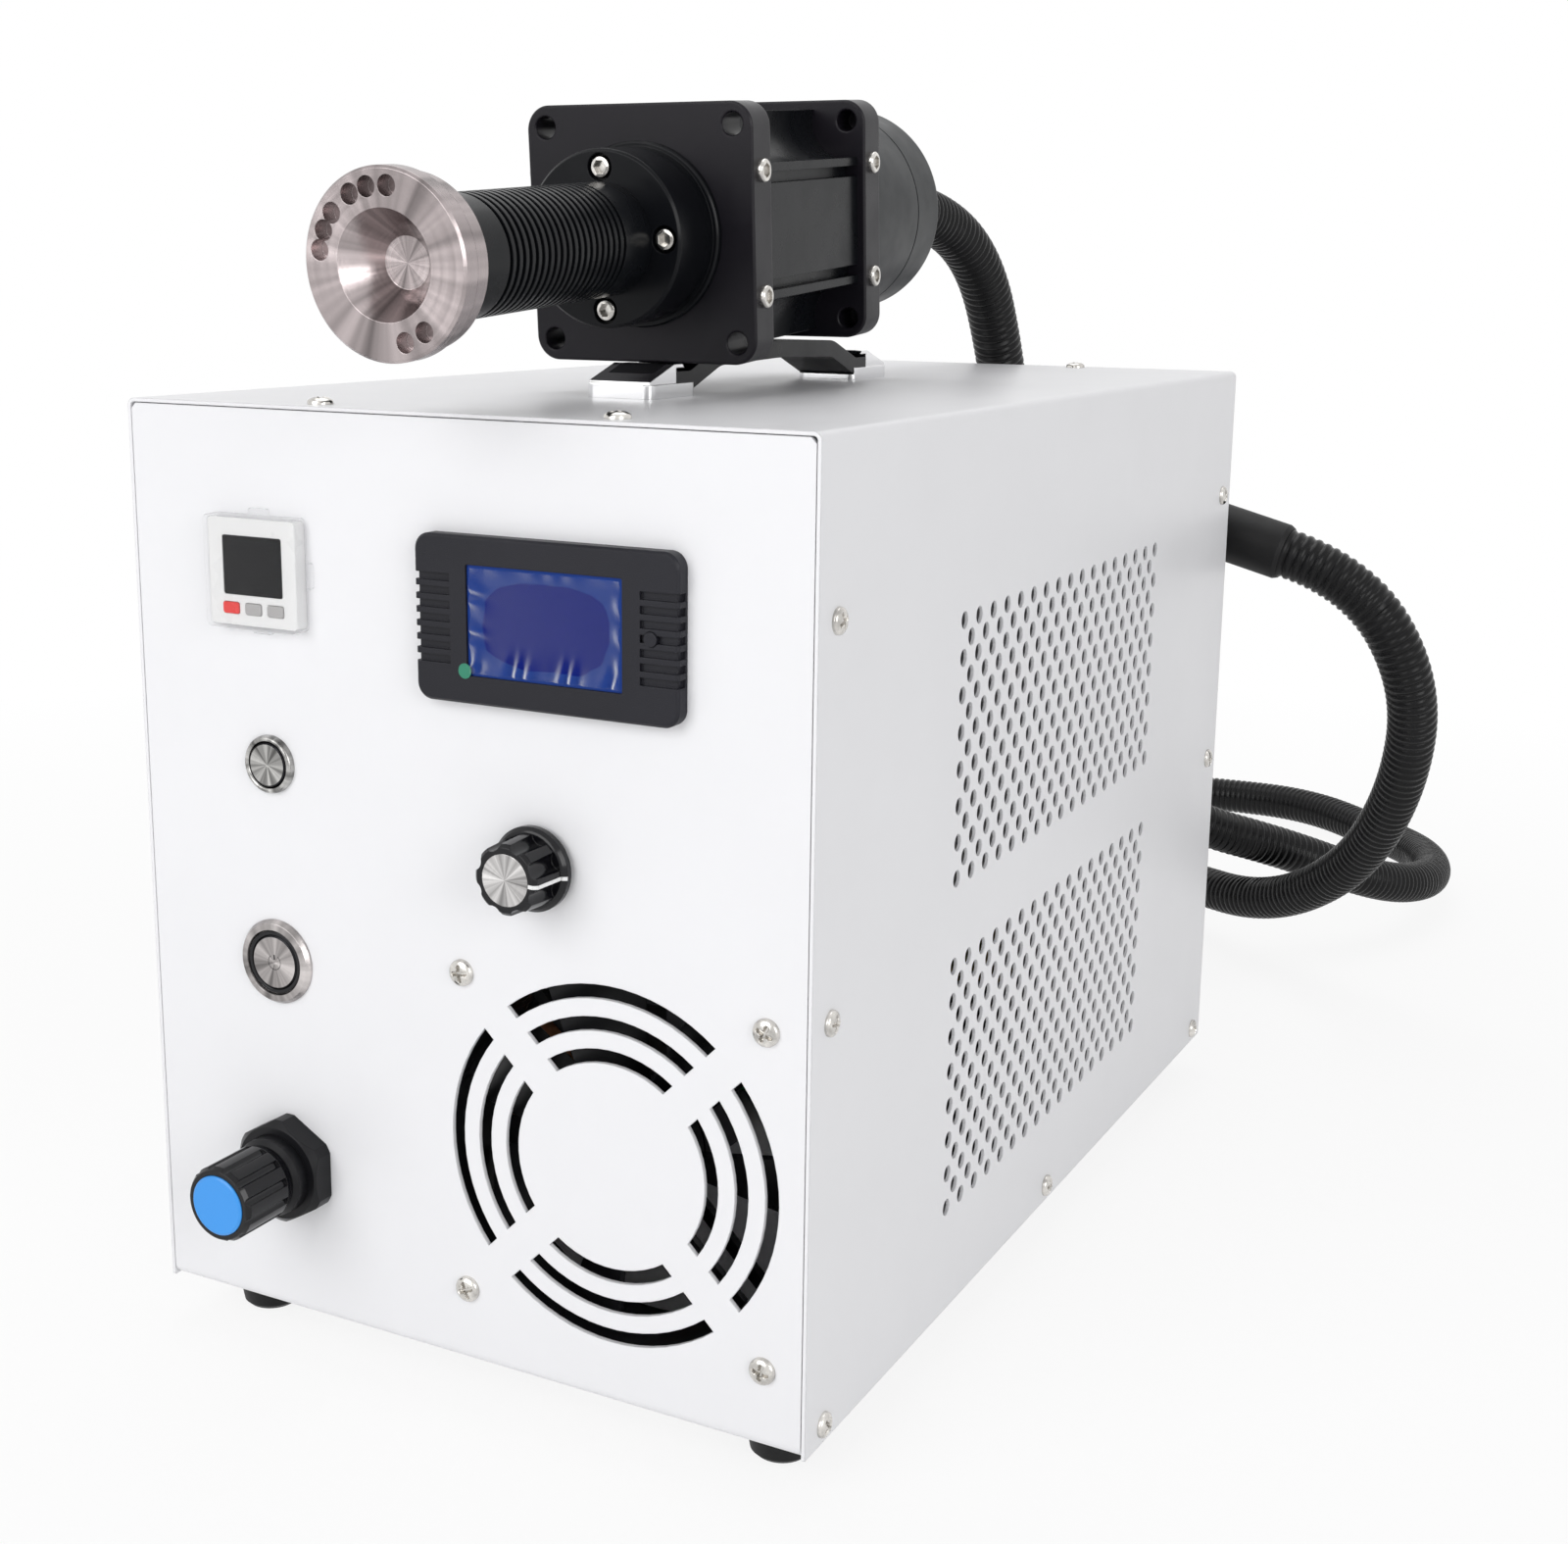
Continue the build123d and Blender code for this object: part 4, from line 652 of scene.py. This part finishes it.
def ringed_tube(points, radius, segments):
    """Point (i, j) is p_i + radius_i (s_i cos a_j + t_i sin a_j), s and t across the line at p_i."""
    side, other = frames_along(points)
    angle = np.linspace(0, 2 * math.pi, segments, endpoint=False)
    ring = side[:, None, :] * np.cos(angle)[None, :, None] + other[:, None, :] * np.sin(angle)[None, :, None]
    surface = points[:, None, :] + np.asarray(radius)[:, None, None] * ring
    return surface.reshape(-1, 3), grid_faces(len(points), segments, around=True)


route_line = spline_points("hose_line", ROUTE)
RING_PITCH, RING_STEPS = 0.0038, 5
hose_line, hose_along = evenly(route_line, RING_PITCH / RING_STEPS)
wave = 0.5 + 0.5 * np.cos(2 * math.pi * hose_along / RING_PITCH)
hose_points, hose_faces = ringed_tube(hose_line, 0.0110 - 0.0009 * (1 - wave) ** 2, 28)
hose = add_mesh("corrugated_hose", hose_points, hose_faces, hose_plastic, None, slot="hose_black")
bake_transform(hose)
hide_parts("torch_hose")
print("hose length", round(float(hose_along[-1]), 3), "rings", int(hose_along[-1] / RING_PITCH))

# %% [markdown]
# ## The perforated cover
#
# The cover is one sheet bent into an upside-down U. Each wall vent is a tile 12.3 by 6 mm with a round hole
# in it; the tiles of every second row are shifted by half a tile, as a punching tool does it. The tiles and
# the plain stretches round them make the right wall; the rest of the U is its outline carried along Y.

# %% Cover
SHEET, BEND = 0.0012, 0.0025
HOLE, TILE_Y, TILE_Z, ROWS, COLUMNS = 0.0028, 0.0123, 0.0060, 15, 17
FIELD_Y = FRONT + 0.1044
FIELD_Z = (0.0375, 0.151)


def tile(sides=24):
    """Rings of points from the tile's rim (row 0) to just outside the hole (row 1), the hole's edge (row 2)
    and through the sheet (row 3)."""
    angle = (np.arange(sides) + 0.5) * 2 * math.pi / sides
    direction = np.stack([np.cos(angle), np.sin(angle)], axis=1)
    scale = np.minimum(TILE_Y / 2 / np.abs(direction[:, 0]), TILE_Z / 2 / np.abs(direction[:, 1]))
    rim = direction * scale[:, None]
    corners = np.array([[1, 1], [-1, 1], [-1, -1], [1, -1]]) * (TILE_Y / 2, TILE_Z / 2)
    nearest = [int(np.argmin(np.linalg.norm(rim - corner, axis=1))) for corner in corners]
    rim[nearest] = corners
    hole = direction * HOLE
    rows = [np.c_[rim, np.zeros(sides)], np.c_[hole * 1.04, np.zeros(sides)],
            np.c_[hole, np.full(sides, -0.0001)], np.c_[hole, np.full(sides, -SHEET)]]
    return np.concatenate(rows), grid_faces(4, sides, around=True)


def rectangle(low, high):
    """One quad in the wall's plane from its low to its high corner."""
    (a, b), (c, d) = low, high
    return np.array([[a, b, 0], [c, b, 0], [c, d, 0], [a, d, 0]]), np.array([[0, 1, 2, 3]])


def vent_wall():
    """The right wall in its own axes (y, height): its outer skin, with both fields of holes and the walls of
    the holes. It has no inner skin."""
    points, faces = tile()
    pieces = []
    left, end = FIELD_Y - TILE_Y / 2, FIELD_Y + (COLUMNS - 0.5) * TILE_Y
    lower, upper = 0.0, HEIGHT - BEND
    levels = [lower]
    for start in FIELD_Z:
        low = start - TILE_Z / 2
        high = low + ROWS * TILE_Z
        levels += [low, high]
        for row in range(ROWS):
            z = start + row * TILE_Z
            odd = row % 2
            centres = FIELD_Y + (np.arange(COLUMNS - odd) + odd / 2) * TILE_Y
            offsets = np.stack([centres, np.full(len(centres), z), np.zeros(len(centres))], axis=1)
            block = (points[None] + offsets[:, None]).reshape(-1, 3)
            numbers = (faces[None] + np.arange(len(centres))[:, None, None] * len(points)).reshape(-1, 4)
            pieces.append((block, numbers))
            if odd:
                pieces.append(rectangle((left, z - TILE_Z / 2), (left + TILE_Y / 2, z + TILE_Z / 2)))
                pieces.append(rectangle((end - TILE_Y / 2, z - TILE_Z / 2), (end, z + TILE_Z / 2)))
        pieces.append(rectangle((FRONT, low), (left, high)))
        pieces.append(rectangle((end, low), (BACK, high)))
    levels.append(upper)
    for low, high in zip(levels[0::2], levels[1::2]):
        pieces.append(rectangle((FRONT, low), (BACK, high)))
    return join(pieces)


def u_outline(inset):
    """(x, z) of the U from the left wall's foot over both bends to the right bend's end, inset from outside:
    each bend is a quarter circle, c + r (cos a, sin a)."""
    half, top, bend = WIDTH / 2 - inset, ROOF - inset, BEND - inset
    turn_angle = np.radians(np.linspace(180, 90, 9))
    left_bend = np.stack([np.cos(turn_angle), np.sin(turn_angle)], axis=1) * bend + (bend - half, top - bend)
    right_bend = left_bend[::-1] * (-1, 1)
    return np.concatenate([[(-half, FOOT)], left_bend, right_bend])


def strip(outline, y_values):
    """The outline's points carried to each y: point (i, j) is (x_j, y_i, z_j)."""
    rows = [np.c_[outline[:, 0], np.full(len(outline), y), outline[:, 1]] for y in y_values]
    return np.concatenate(rows), grid_faces(len(y_values), len(outline))


def cover_surface():
    """The right wall, the rest of the U outside and inside, and the sheet's cut edges."""
    wall_points, wall_faces = vent_wall()
    wall = place(wall_points, on_side(0.0, 0.0))
    outer, inner = u_outline(0.0), u_outline(SHEET)
    right = np.array([[WIDTH / 2, FOOT]])
    outer_full = np.concatenate([outer, right])
    inner_full = np.concatenate([inner, right - (SHEET, 0)])
    pieces = [(wall, wall_faces), strip(outer, (FRONT, BACK)), strip(inner[:-1], (FRONT, BACK))]
    for y in (FRONT, BACK):
        rows = np.concatenate([np.c_[o[:, 0], np.full(len(o), y), o[:, 1]] for o in (outer_full, inner_full)])
        pieces.append((rows, grid_faces(2, len(outer_full))))
    for x, inside in ((WIDTH / 2, WIDTH / 2 - SHEET), (-WIDTH / 2, -WIDTH / 2 + SHEET)):
        foot = np.array([[x, FRONT, FOOT], [x, BACK, FOOT], [inside, BACK, FOOT], [inside, FRONT, FOOT]])
        pieces.append((foot, np.array([[0, 1, 2, 3]])))
    return join(pieces)


cover_points, cover_faces = cover_surface()
add_mesh("perforated_cover", cover_points, cover_faces, white_coat, "cabinet", ["cover"], "case_paint")
print("cover faces", len(cover_faces), "holes", 2 * (ROWS * COLUMNS - ROWS // 2))

# %% [markdown]
# ## Screw heads
#
# The sheet metal is held by cross-head screws with a low domed head, the torch by socket screws. Cutting the
# recess with a boolean would leave long thin faces. Instead each head is a polar grid of points, and the
# recess is a depth taken away where the point lies inside a cross, or rings that follow a hexagon.

# %% Grid of a head
def polar(radii, heights, sides=48):
    """Point (i, j) is (r_i cos a_j, r_i sin a_j, z_i), where r_i and z_i may also change with j. A pole
    closes the first and the last ring."""
    angle = np.linspace(0, 2 * math.pi, sides, endpoint=False)
    rings = [np.stack([r * np.cos(angle), r * np.sin(angle), np.broadcast_to(z, angle.shape)], axis=1)
             for r, z in zip(radii, heights)]
    count, j = len(rings), np.arange(sides)
    following = (j + 1) % sides
    points = np.concatenate(rings + [[[0, 0, np.mean(heights[0])]], [[0, 0, np.mean(heights[-1])]]])
    low, high, top = np.full(sides, count * sides), np.full(sides, count * sides + 1), (count - 1) * sides
    faces = np.concatenate([grid_faces(count, sides, around=True), np.stack([low, following, j, j], axis=1),
                            np.stack([top + j, top + following, high, high], axis=1)])
    return points, faces


# %% One head of each kind
RINGS = (1.0, 0.95, 0.88, 0.78, 0.68, 0.62, 0.56, 0.46, 0.36, 0.26, 0.18, 0.1)
RIM_SHARE, ARM_HALF, ARM_REACH, RECESS_SHARE = 0.3, 0.15, 0.64, 0.6
ARM_SLOPE, ARM_END_SLOPE, SEAT_GAP = 0.05, 0.06, 0.00002


def cross_head(radius, height, shank, length, sides=48):
    """Dome z = h (0.3 + 0.7 sqrt(1 - s^2)), s = r / R, less 0.6 h inside a cross whose arms are about 0.3 R
    wide and reach 0.64 R from the axis, with sloping walls."""
    angle = np.linspace(0, 2 * math.pi, sides, endpoint=False)
    radii, heights = [shank, shank, radius], [-length, -SEAT_GAP, -SEAT_GAP]
    for s in RINGS:
        u, v = np.abs(s * np.cos(angle)), np.abs(s * np.sin(angle))
        inside = np.clip((ARM_HALF - np.minimum(u, v)) / ARM_SLOPE, 0, 1)
        inside = inside * np.clip((ARM_REACH - s) / ARM_END_SLOPE, 0, 1)
        dome = RIM_SHARE + (1 - RIM_SHARE) * math.sqrt(1 - s * s)
        radii.append(radius * s)
        heights.append(height * (dome - RECESS_SHARE * inside))
    return polar(radii, heights, sides)


def socket_head(radius, height, shank, length, across=0.56, sides=48):
    """Button head whose recess is a hexagon: its rim lies at a / cos(angle from the nearest flat)."""
    angle = np.linspace(0, 2 * math.pi, sides, endpoint=False)
    hexagon = radius * across / np.cos((angle + math.pi / 6) % (math.pi / 3) - math.pi / 6)
    radii = [shank, shank, radius, radius, radius * 0.97, radius * 0.88]
    radii += [hexagon * 1.06, hexagon, hexagon * 0.98]
    heights = [-length, -SEAT_GAP, -SEAT_GAP]
    heights += [height * share for share in (0.55, 0.75, 0.93, 1.0, 0.96, 0.3)]
    return polar(radii, heights, sides)


# %% [markdown]
# ### Heads in their places
#
# A screw driver leaves every cross at an angle of its own, so each head is turned a little about its axis.
# The heads of each group are joined to one mesh, which replaces the plain screws of the solids.

# %% Ways to place a head
def spread_out(one, places):
    """The same piece once for each place."""
    points, faces = one
    return join([(place(points, matrix), faces) for matrix in places])


def turned_place(matrix, angle):
    """The place turned about its own Z."""
    c, s = math.cos(angle), math.sin(angle)
    return matrix @ np.array([[c, -s, 0, 0], [s, c, 0, 0], [0, 0, 1, 0], [0, 0, 0, 1.0]])


def on_torch(origin, right, up, out):
    """A place given in the torch's own axes."""
    return TORCH @ frame_at(origin, right, up, out)


# %% Screws of the sheet metal
SCREW_LOW, SCREW_MIDDLE, SCREW_HIGH, SIDE_INSET, TOP_X, TOP_INSET = 0.006, 0.132, 0.248, 0.012, 0.053, 0.010
cover_places = [on_side(y, z, hand) for hand in (1, -1) for z in (SCREW_LOW, SCREW_MIDDLE, SCREW_HIGH)
                for y in (FRONT + SIDE_INSET, BACK - SIDE_INSET)]
cover_places += [on_side(0.0, SCREW_LOW, hand) for hand in (1, -1)]
cover_places += [on_roof(x, y) for x in (-TOP_X, TOP_X) for y in (FRONT + TOP_INSET, BACK - TOP_INSET)]
cover_places = [turned_place(matrix, 0.7 + 1.9 * index) for index, matrix in enumerate(cover_places)]
add_mesh("cross_screws_cover", *spread_out(cross_head(0.0040, 0.0023, 0.0019, 0.006), cover_places), zinc,
         "cabinet", ["cover_screws"], "zinc_screw")
FAN_X, FAN_Z, FAN_HOLE = 0.0553, 0.078, 0.0525
fan_places = [on_panel(FAN_X + x * FAN_HOLE, FAN_Z + z * FAN_HOLE) for x in (-1, 1) for z in (-1, 1)]
fan_places = [turned_place(matrix, 0.4 + 1.3 * index) for index, matrix in enumerate(fan_places)]
add_mesh("cross_screws_fan", *spread_out(cross_head(0.00425, 0.0023, 0.0019, 0.0245), fan_places), zinc,
         "cabinet", ["fan_screws"], "zinc_screw")
print("sheet metal screws", len(cover_places), len(fan_places))

# %% Screws of the torch
HUB_CIRCLE, HUB_SEAT, SIDE_X, SIDE_Y, SIDE_Z = 0.022, 0.0219, 0.041, 0.0196, (-0.0065, -0.0965)
hub_seat = frame_at((HUB_CIRCLE, 0, HUB_SEAT), (1, 0, 0), (0, 1, 0), (0, 0, 1))
hub_places = [turned_place(TORCH, quarter * math.pi / 2) @ hub_seat for quarter in range(4)]
side_places = [on_torch((hand * SIDE_X, y, z), (0, 0, -hand), (0, 1, 0), (hand, 0, 0))
               for hand in (1, -1) for y in (-SIDE_Y, SIDE_Y) for z in SIDE_Z]
torch_heads = join([spread_out(socket_head(0.0035, 0.0030, 0.0016, 0.0005), hub_places),
                    spread_out(socket_head(0.0037, 0.0019, 0.0019, 0.007), side_places)])
add_mesh("socket_screws_torch", *torch_heads, zinc, "torch", ["torch_screws"], "zinc_screw")
print("torch screws", len(hub_places) + len(side_places))

# %% [markdown]
# ## Buttons
#
# The start button's bezel is rolled over, so its outline is a string of short cones that shade as one round.
# The mains button has a black ring and the usual power sign, a thin dark line on its cap. A bar of
# rectangular section carried along an arc makes it, because it follows any line and closes at its ends.

# %% Start button's bezel and mains button's ring
MM = 0.001
start_outline = [(7.25, -15), (8.0, -15), (8.0, 0), (9.4, 0), (9.4, 0.8), (9.25, 1.5), (8.9, 2.05),
                 (8.4, 2.32), (7.95, 2.3), (7.55, 1.95), (7.3, 1.3), (7.25, 0.6), (7.25, -15)]
start_points, start_faces = lathe(np.array(start_outline) * MM)
add_mesh("start_bezel", place(start_points, START), start_faces, start_metal, "cabinet",
         ["start_button_body"], "spun_aluminium", smooth_angle=50)
ring_outline = [(9.1, 1.4), (10.3, 1.4), (10.4, 1.6), (10.2, 1.84), (9.3, 1.84), (9.1, 1.7), (9.1, 1.4)]
ring_points, ring_faces = lathe(np.array(ring_outline) * MM)
add_mesh("power_ring", place(ring_points, POWER), ring_faces, gloss_black, "cabinet", slot="gloss_black")
print("bezel faces", len(start_faces), "ring faces", len(ring_faces))


# %% Power sign
def ribbon(line, half, height, normal=(0, 0, 1)):
    """A bar along a line p: its corners are p +- half x side and the same + height x normal, where side is
    the line's direction x the normal."""
    line = np.asarray(line, float)
    ahead = np.gradient(line, axis=0)
    ahead /= np.linalg.norm(ahead, axis=1)[:, None]
    normal = np.broadcast_to(normal, line.shape)
    side = np.cross(ahead, normal)
    corners = [line + half * side, line + half * side + height * normal, line - half * side + height * normal,
               line - half * side]
    points = np.stack(corners, axis=1).reshape(-1, 3)
    last = 4 * (len(line) - 1)
    ends = np.array([[3, 2, 1, 0], [last, last + 1, last + 2, last + 3]])
    return points, np.concatenate([grid_faces(len(line), 4, around=True), ends])


SIGN_RADIUS, SIGN_REST, SIGN_HALF, SIGN_PROUD = 0.0026, 0.00178, 0.00026, 0.00008
arc = np.radians(np.linspace(125, 415, 41))
sign_arc = np.c_[SIGN_RADIUS * np.cos(arc), SIGN_RADIUS * np.sin(arc), np.full(len(arc), SIGN_REST)]
sign_bar = np.array([(0, 0.0009, SIGN_REST), (0, 0.0034, SIGN_REST)])
sign_points, sign_faces = join([ribbon(line, SIGN_HALF, SIGN_PROUD) for line in (sign_arc, sign_bar)])
add_mesh("power_sign", place(sign_points, POWER), sign_faces, moulded_black, body_of_node["power_button_cap"],
         slot="gloss_black")
print("sign faces", len(sign_faces))

# %% [markdown]
# ## The knob's pointer
#
# A white line starts on the knob's rim, runs over its edge and down its side to the skirt. It is paint, so a
# bar 0.12 mm high along the knob's outline is enough; its height follows the outline's own slope.

# %% Pointer
POINTER_ANGLE = math.radians(-4)
pointer_side = [(8.2, 17.56), (9.75, 17.56), (10.86, 16.5), (11.42, 5.26), (12.0, 5.1), (13.05, 4.06)]
pointer_line = np.array(pointer_side) * MM
outward = (math.cos(POINTER_ANGLE), math.sin(POINTER_ANGLE), 1.0)
pointer = pointer_line[:, [0, 0, 1]] * outward
pointer_ahead = np.gradient(pointer, axis=0)
pointer_out = np.cross(np.cross(pointer_ahead, outward), pointer_ahead)
pointer_out /= np.linalg.norm(pointer_out, axis=1)[:, None]
POINTER_HALF, POINTER_PROUD = 0.0006, 0.00012
pointer_points, pointer_faces = ribbon(pointer, POINTER_HALF, POINTER_PROUD, pointer_out)
add_mesh("knob_pointer", place(pointer_points, KNOB), pointer_faces, pointer_paint,
         body_of_node["power_knob"], slot="white_plastic")
print("pointer faces", len(pointer_faces))

# %% [markdown]
# ## The film on the meter's window
#
# New meters come with a protective film. It clings to the middle of the window and lifts along the edges in
# short waves, most of all on the left and along the bottom. A small green tab in the corner pulls it off.

# %% Film and tab
METER = on_panel(METER_X, METER_HEIGHT)
FILM_WIDE, FILM_TALL, FILM_REST, FILM_LIFT, FILM_THICKNESS = 0.0508, 0.0308, 0.00426, 0.00105, 0.00003


def edge_wave(distance, reach, swell, phase):
    """exp(-(distance / reach) ** 2) x swell x (1 + sin(phase)): high at the edge, gone a little inside it."""
    return np.exp(-((distance / reach) ** 2)) * swell * (1 + np.sin(phase))


def film_surface(columns=150, rows=96):
    """z = rest + lift x (left + bottom + right + 0.6 top), at most 1, each a wave from its edge; a second
    layer 0.03 mm below and a rim close the sheet."""
    u, v = np.meshgrid(np.linspace(0, 1, columns), np.linspace(0, 1, rows))
    left = edge_wave(u, 0.085, 0.5, 31 * v + 1.2 * np.sin(17 * v) + 14 * u)
    right = edge_wave(1 - u, 0.035, 0.4, 23 * v + 9 * u)
    bottom = edge_wave(v, 0.16, 0.5, 47 * u + 2.1 * np.sin(19 * u) - 9 * v)
    top = edge_wave(1 - v, 0.06, 0.3, 37 * u + 1.3 * np.sin(11 * u))
    height = FILM_REST + FILM_LIFT * np.clip(left + bottom + right + 0.6 * top, 0, 1)
    upper = np.stack([(u - 0.5) * FILM_WIDE, (v - 0.5) * FILM_TALL, height], axis=-1)
    lower = upper - (0, 0, FILM_THICKNESS)
    count = rows * columns
    faces = grid_faces(rows, columns)
    edge = np.concatenate([np.arange(columns), np.arange(1, rows) * columns + columns - 1,
                           count - 2 - np.arange(columns - 1), np.arange(rows - 2, 0, -1) * columns])
    ahead = np.roll(edge, -1)
    rim = np.stack([edge + count, ahead + count, ahead, edge], axis=1)
    points = np.concatenate([upper.reshape(-1, 3), lower.reshape(-1, 3)])
    return points, np.concatenate([faces, faces[:, ::-1] + count, rim])


film_points, film_faces = film_surface()
add_mesh("meter_film", place(film_points, METER), film_faces, clear_film, "cabinet", slot="clear_plastic",
         smooth_angle=60)
TAB_CORNER = (-0.0272, -0.0150, 0)
tab_points, tab_faces = lathe(np.array([(0, 5.02), (2.3, 5.02), (2.3, 5.12), (0, 5.14)]) * MM, 48)
add_mesh("film_tab", place(tab_points + TAB_CORNER, METER), tab_faces, green_film, "cabinet")
print("film faces", len(film_faces))

# %% [markdown]
# ## Room and light
#
# The floor is diffuse, so it takes the object's shadow. A plain diffuse floor would come out grey, so the
# camera sees it mixed with white, and pure white further off, where no shadow reaches.

# %% Floor
def pale_floor():
    """Diffuse white, mixed with plain white for the camera and for reflections: 0.86 of it near the object,
    where the rest carries its shadow, and all of it from 1.1 m away."""
    material, tree, shader = node_tree("pale_floor")
    shader.inputs["Base Color"].default_value = (0.9, 0.9, 0.9, 1)
    shader.inputs["Roughness"].default_value = 0.9
    glow = tree.nodes.new("ShaderNodeEmission")
    glow.inputs["Color"].default_value = (1, 1, 1, 1)
    glow.inputs["Strength"].default_value = 1.0
    path = tree.nodes.new("ShaderNodeLightPath")
    seen = sums(tree, "MAXIMUM", path.outputs["Is Camera Ray"], path.outputs["Is Glossy Ray"])
    distance = tree.nodes.new("ShaderNodeVectorMath")
    distance.operation = "LENGTH"
    link(tree, tree.nodes.new("ShaderNodeTexCoord").outputs["Object"], distance.inputs[0])
    whiteness = spread(tree, distance.outputs["Value"], 0.86, 1.0, 0.35, 1.1)
    mix = tree.nodes.new("ShaderNodeMixShader")
    link(tree, sums(tree, "MULTIPLY", seen, whiteness), mix.inputs["Fac"])
    link(tree, shader.outputs["BSDF"], mix.inputs[1])
    link(tree, glow.outputs["Emission"], mix.inputs[2])
    link(tree, mix.outputs["Shader"], tree.nodes["Material Output"].inputs["Surface"])
    return material


floor_points = np.array([[-4.0, -3.0, 0.0], [4.0, -3.0, 0.0], [4.0, 7.0, 0.0], [-4.0, 7.0, 0.0]])
floor = add_mesh("floor", floor_points, np.array([[0, 1, 2, 3]]), pale_floor(), None)
print("floor", floor.name)

# %% [markdown]
# ### World and lamps
#
# A soft box room: the world lights the object evenly at less than half strength, and is white only for the
# camera, for reflections and through clear plastic. Three wide lamps give the front its even brightness and
# leave the side a little darker to the rear, as in the photograph.

# %% World
world = bpy.data.worlds.new("world")
world.use_nodes = True
bpy.context.scene.world = world
world_tree = world.node_tree
background = world_tree.nodes["Background"]
background.inputs["Color"].default_value = (1, 1, 1, 1)
background.inputs["Strength"].default_value = 0.42
white = world_tree.nodes.new("ShaderNodeBackground")
white.inputs["Color"].default_value = (1, 1, 1, 1)
white.inputs["Strength"].default_value = 1.0
world_path = world_tree.nodes.new("ShaderNodeLightPath")
world_seen = sums(world_tree, "MAXIMUM", world_path.outputs["Is Camera Ray"],
                  sums(world_tree, "MAXIMUM", world_path.outputs["Is Transmission Ray"],
                       world_path.outputs["Is Glossy Ray"]))
world_mix = world_tree.nodes.new("ShaderNodeMixShader")
link(world_tree, world_seen, world_mix.inputs["Fac"])
link(world_tree, background.outputs["Background"], world_mix.inputs[1])
link(world_tree, white.outputs["Background"], world_mix.inputs[2])
link(world_tree, world_mix.outputs["Shader"], world_tree.nodes["World Output"].inputs["Surface"])


# %% Lamps
def lamp(name, where, target, size, power, tall=None):
    """A rectangular soft box at one point, facing another."""
    data = bpy.data.lights.new(name, "AREA")
    data.shape = "RECTANGLE"
    data.size = size
    data.size_y = tall or size
    data.energy = power
    light = bpy.data.objects.new(name, data)
    light.location = where
    light.rotation_euler = (Vector(target) - Vector(where)).to_track_quat("-Z", "Y").to_euler()
    bpy.context.scene.collection.objects.link(light)
    return light


lamp("soft_box_front", (-0.5, -2.0, 1.1), (0, -0.1, 0.15), 1.6, 21)
lamp("soft_box_side", (2.0, -1.2, 0.9), (0, 0, 0.15), 1.2, 15)
lamp("soft_box_top", (-0.3, 0.5, 2.0), (0, 0, 0.2), 1.5, 11)
print("lamps", len(bpy.data.lights))

bpy.context.scene.view_settings.view_transform = "Standard"

# %% Finish
bpy.context.view_layer.update()
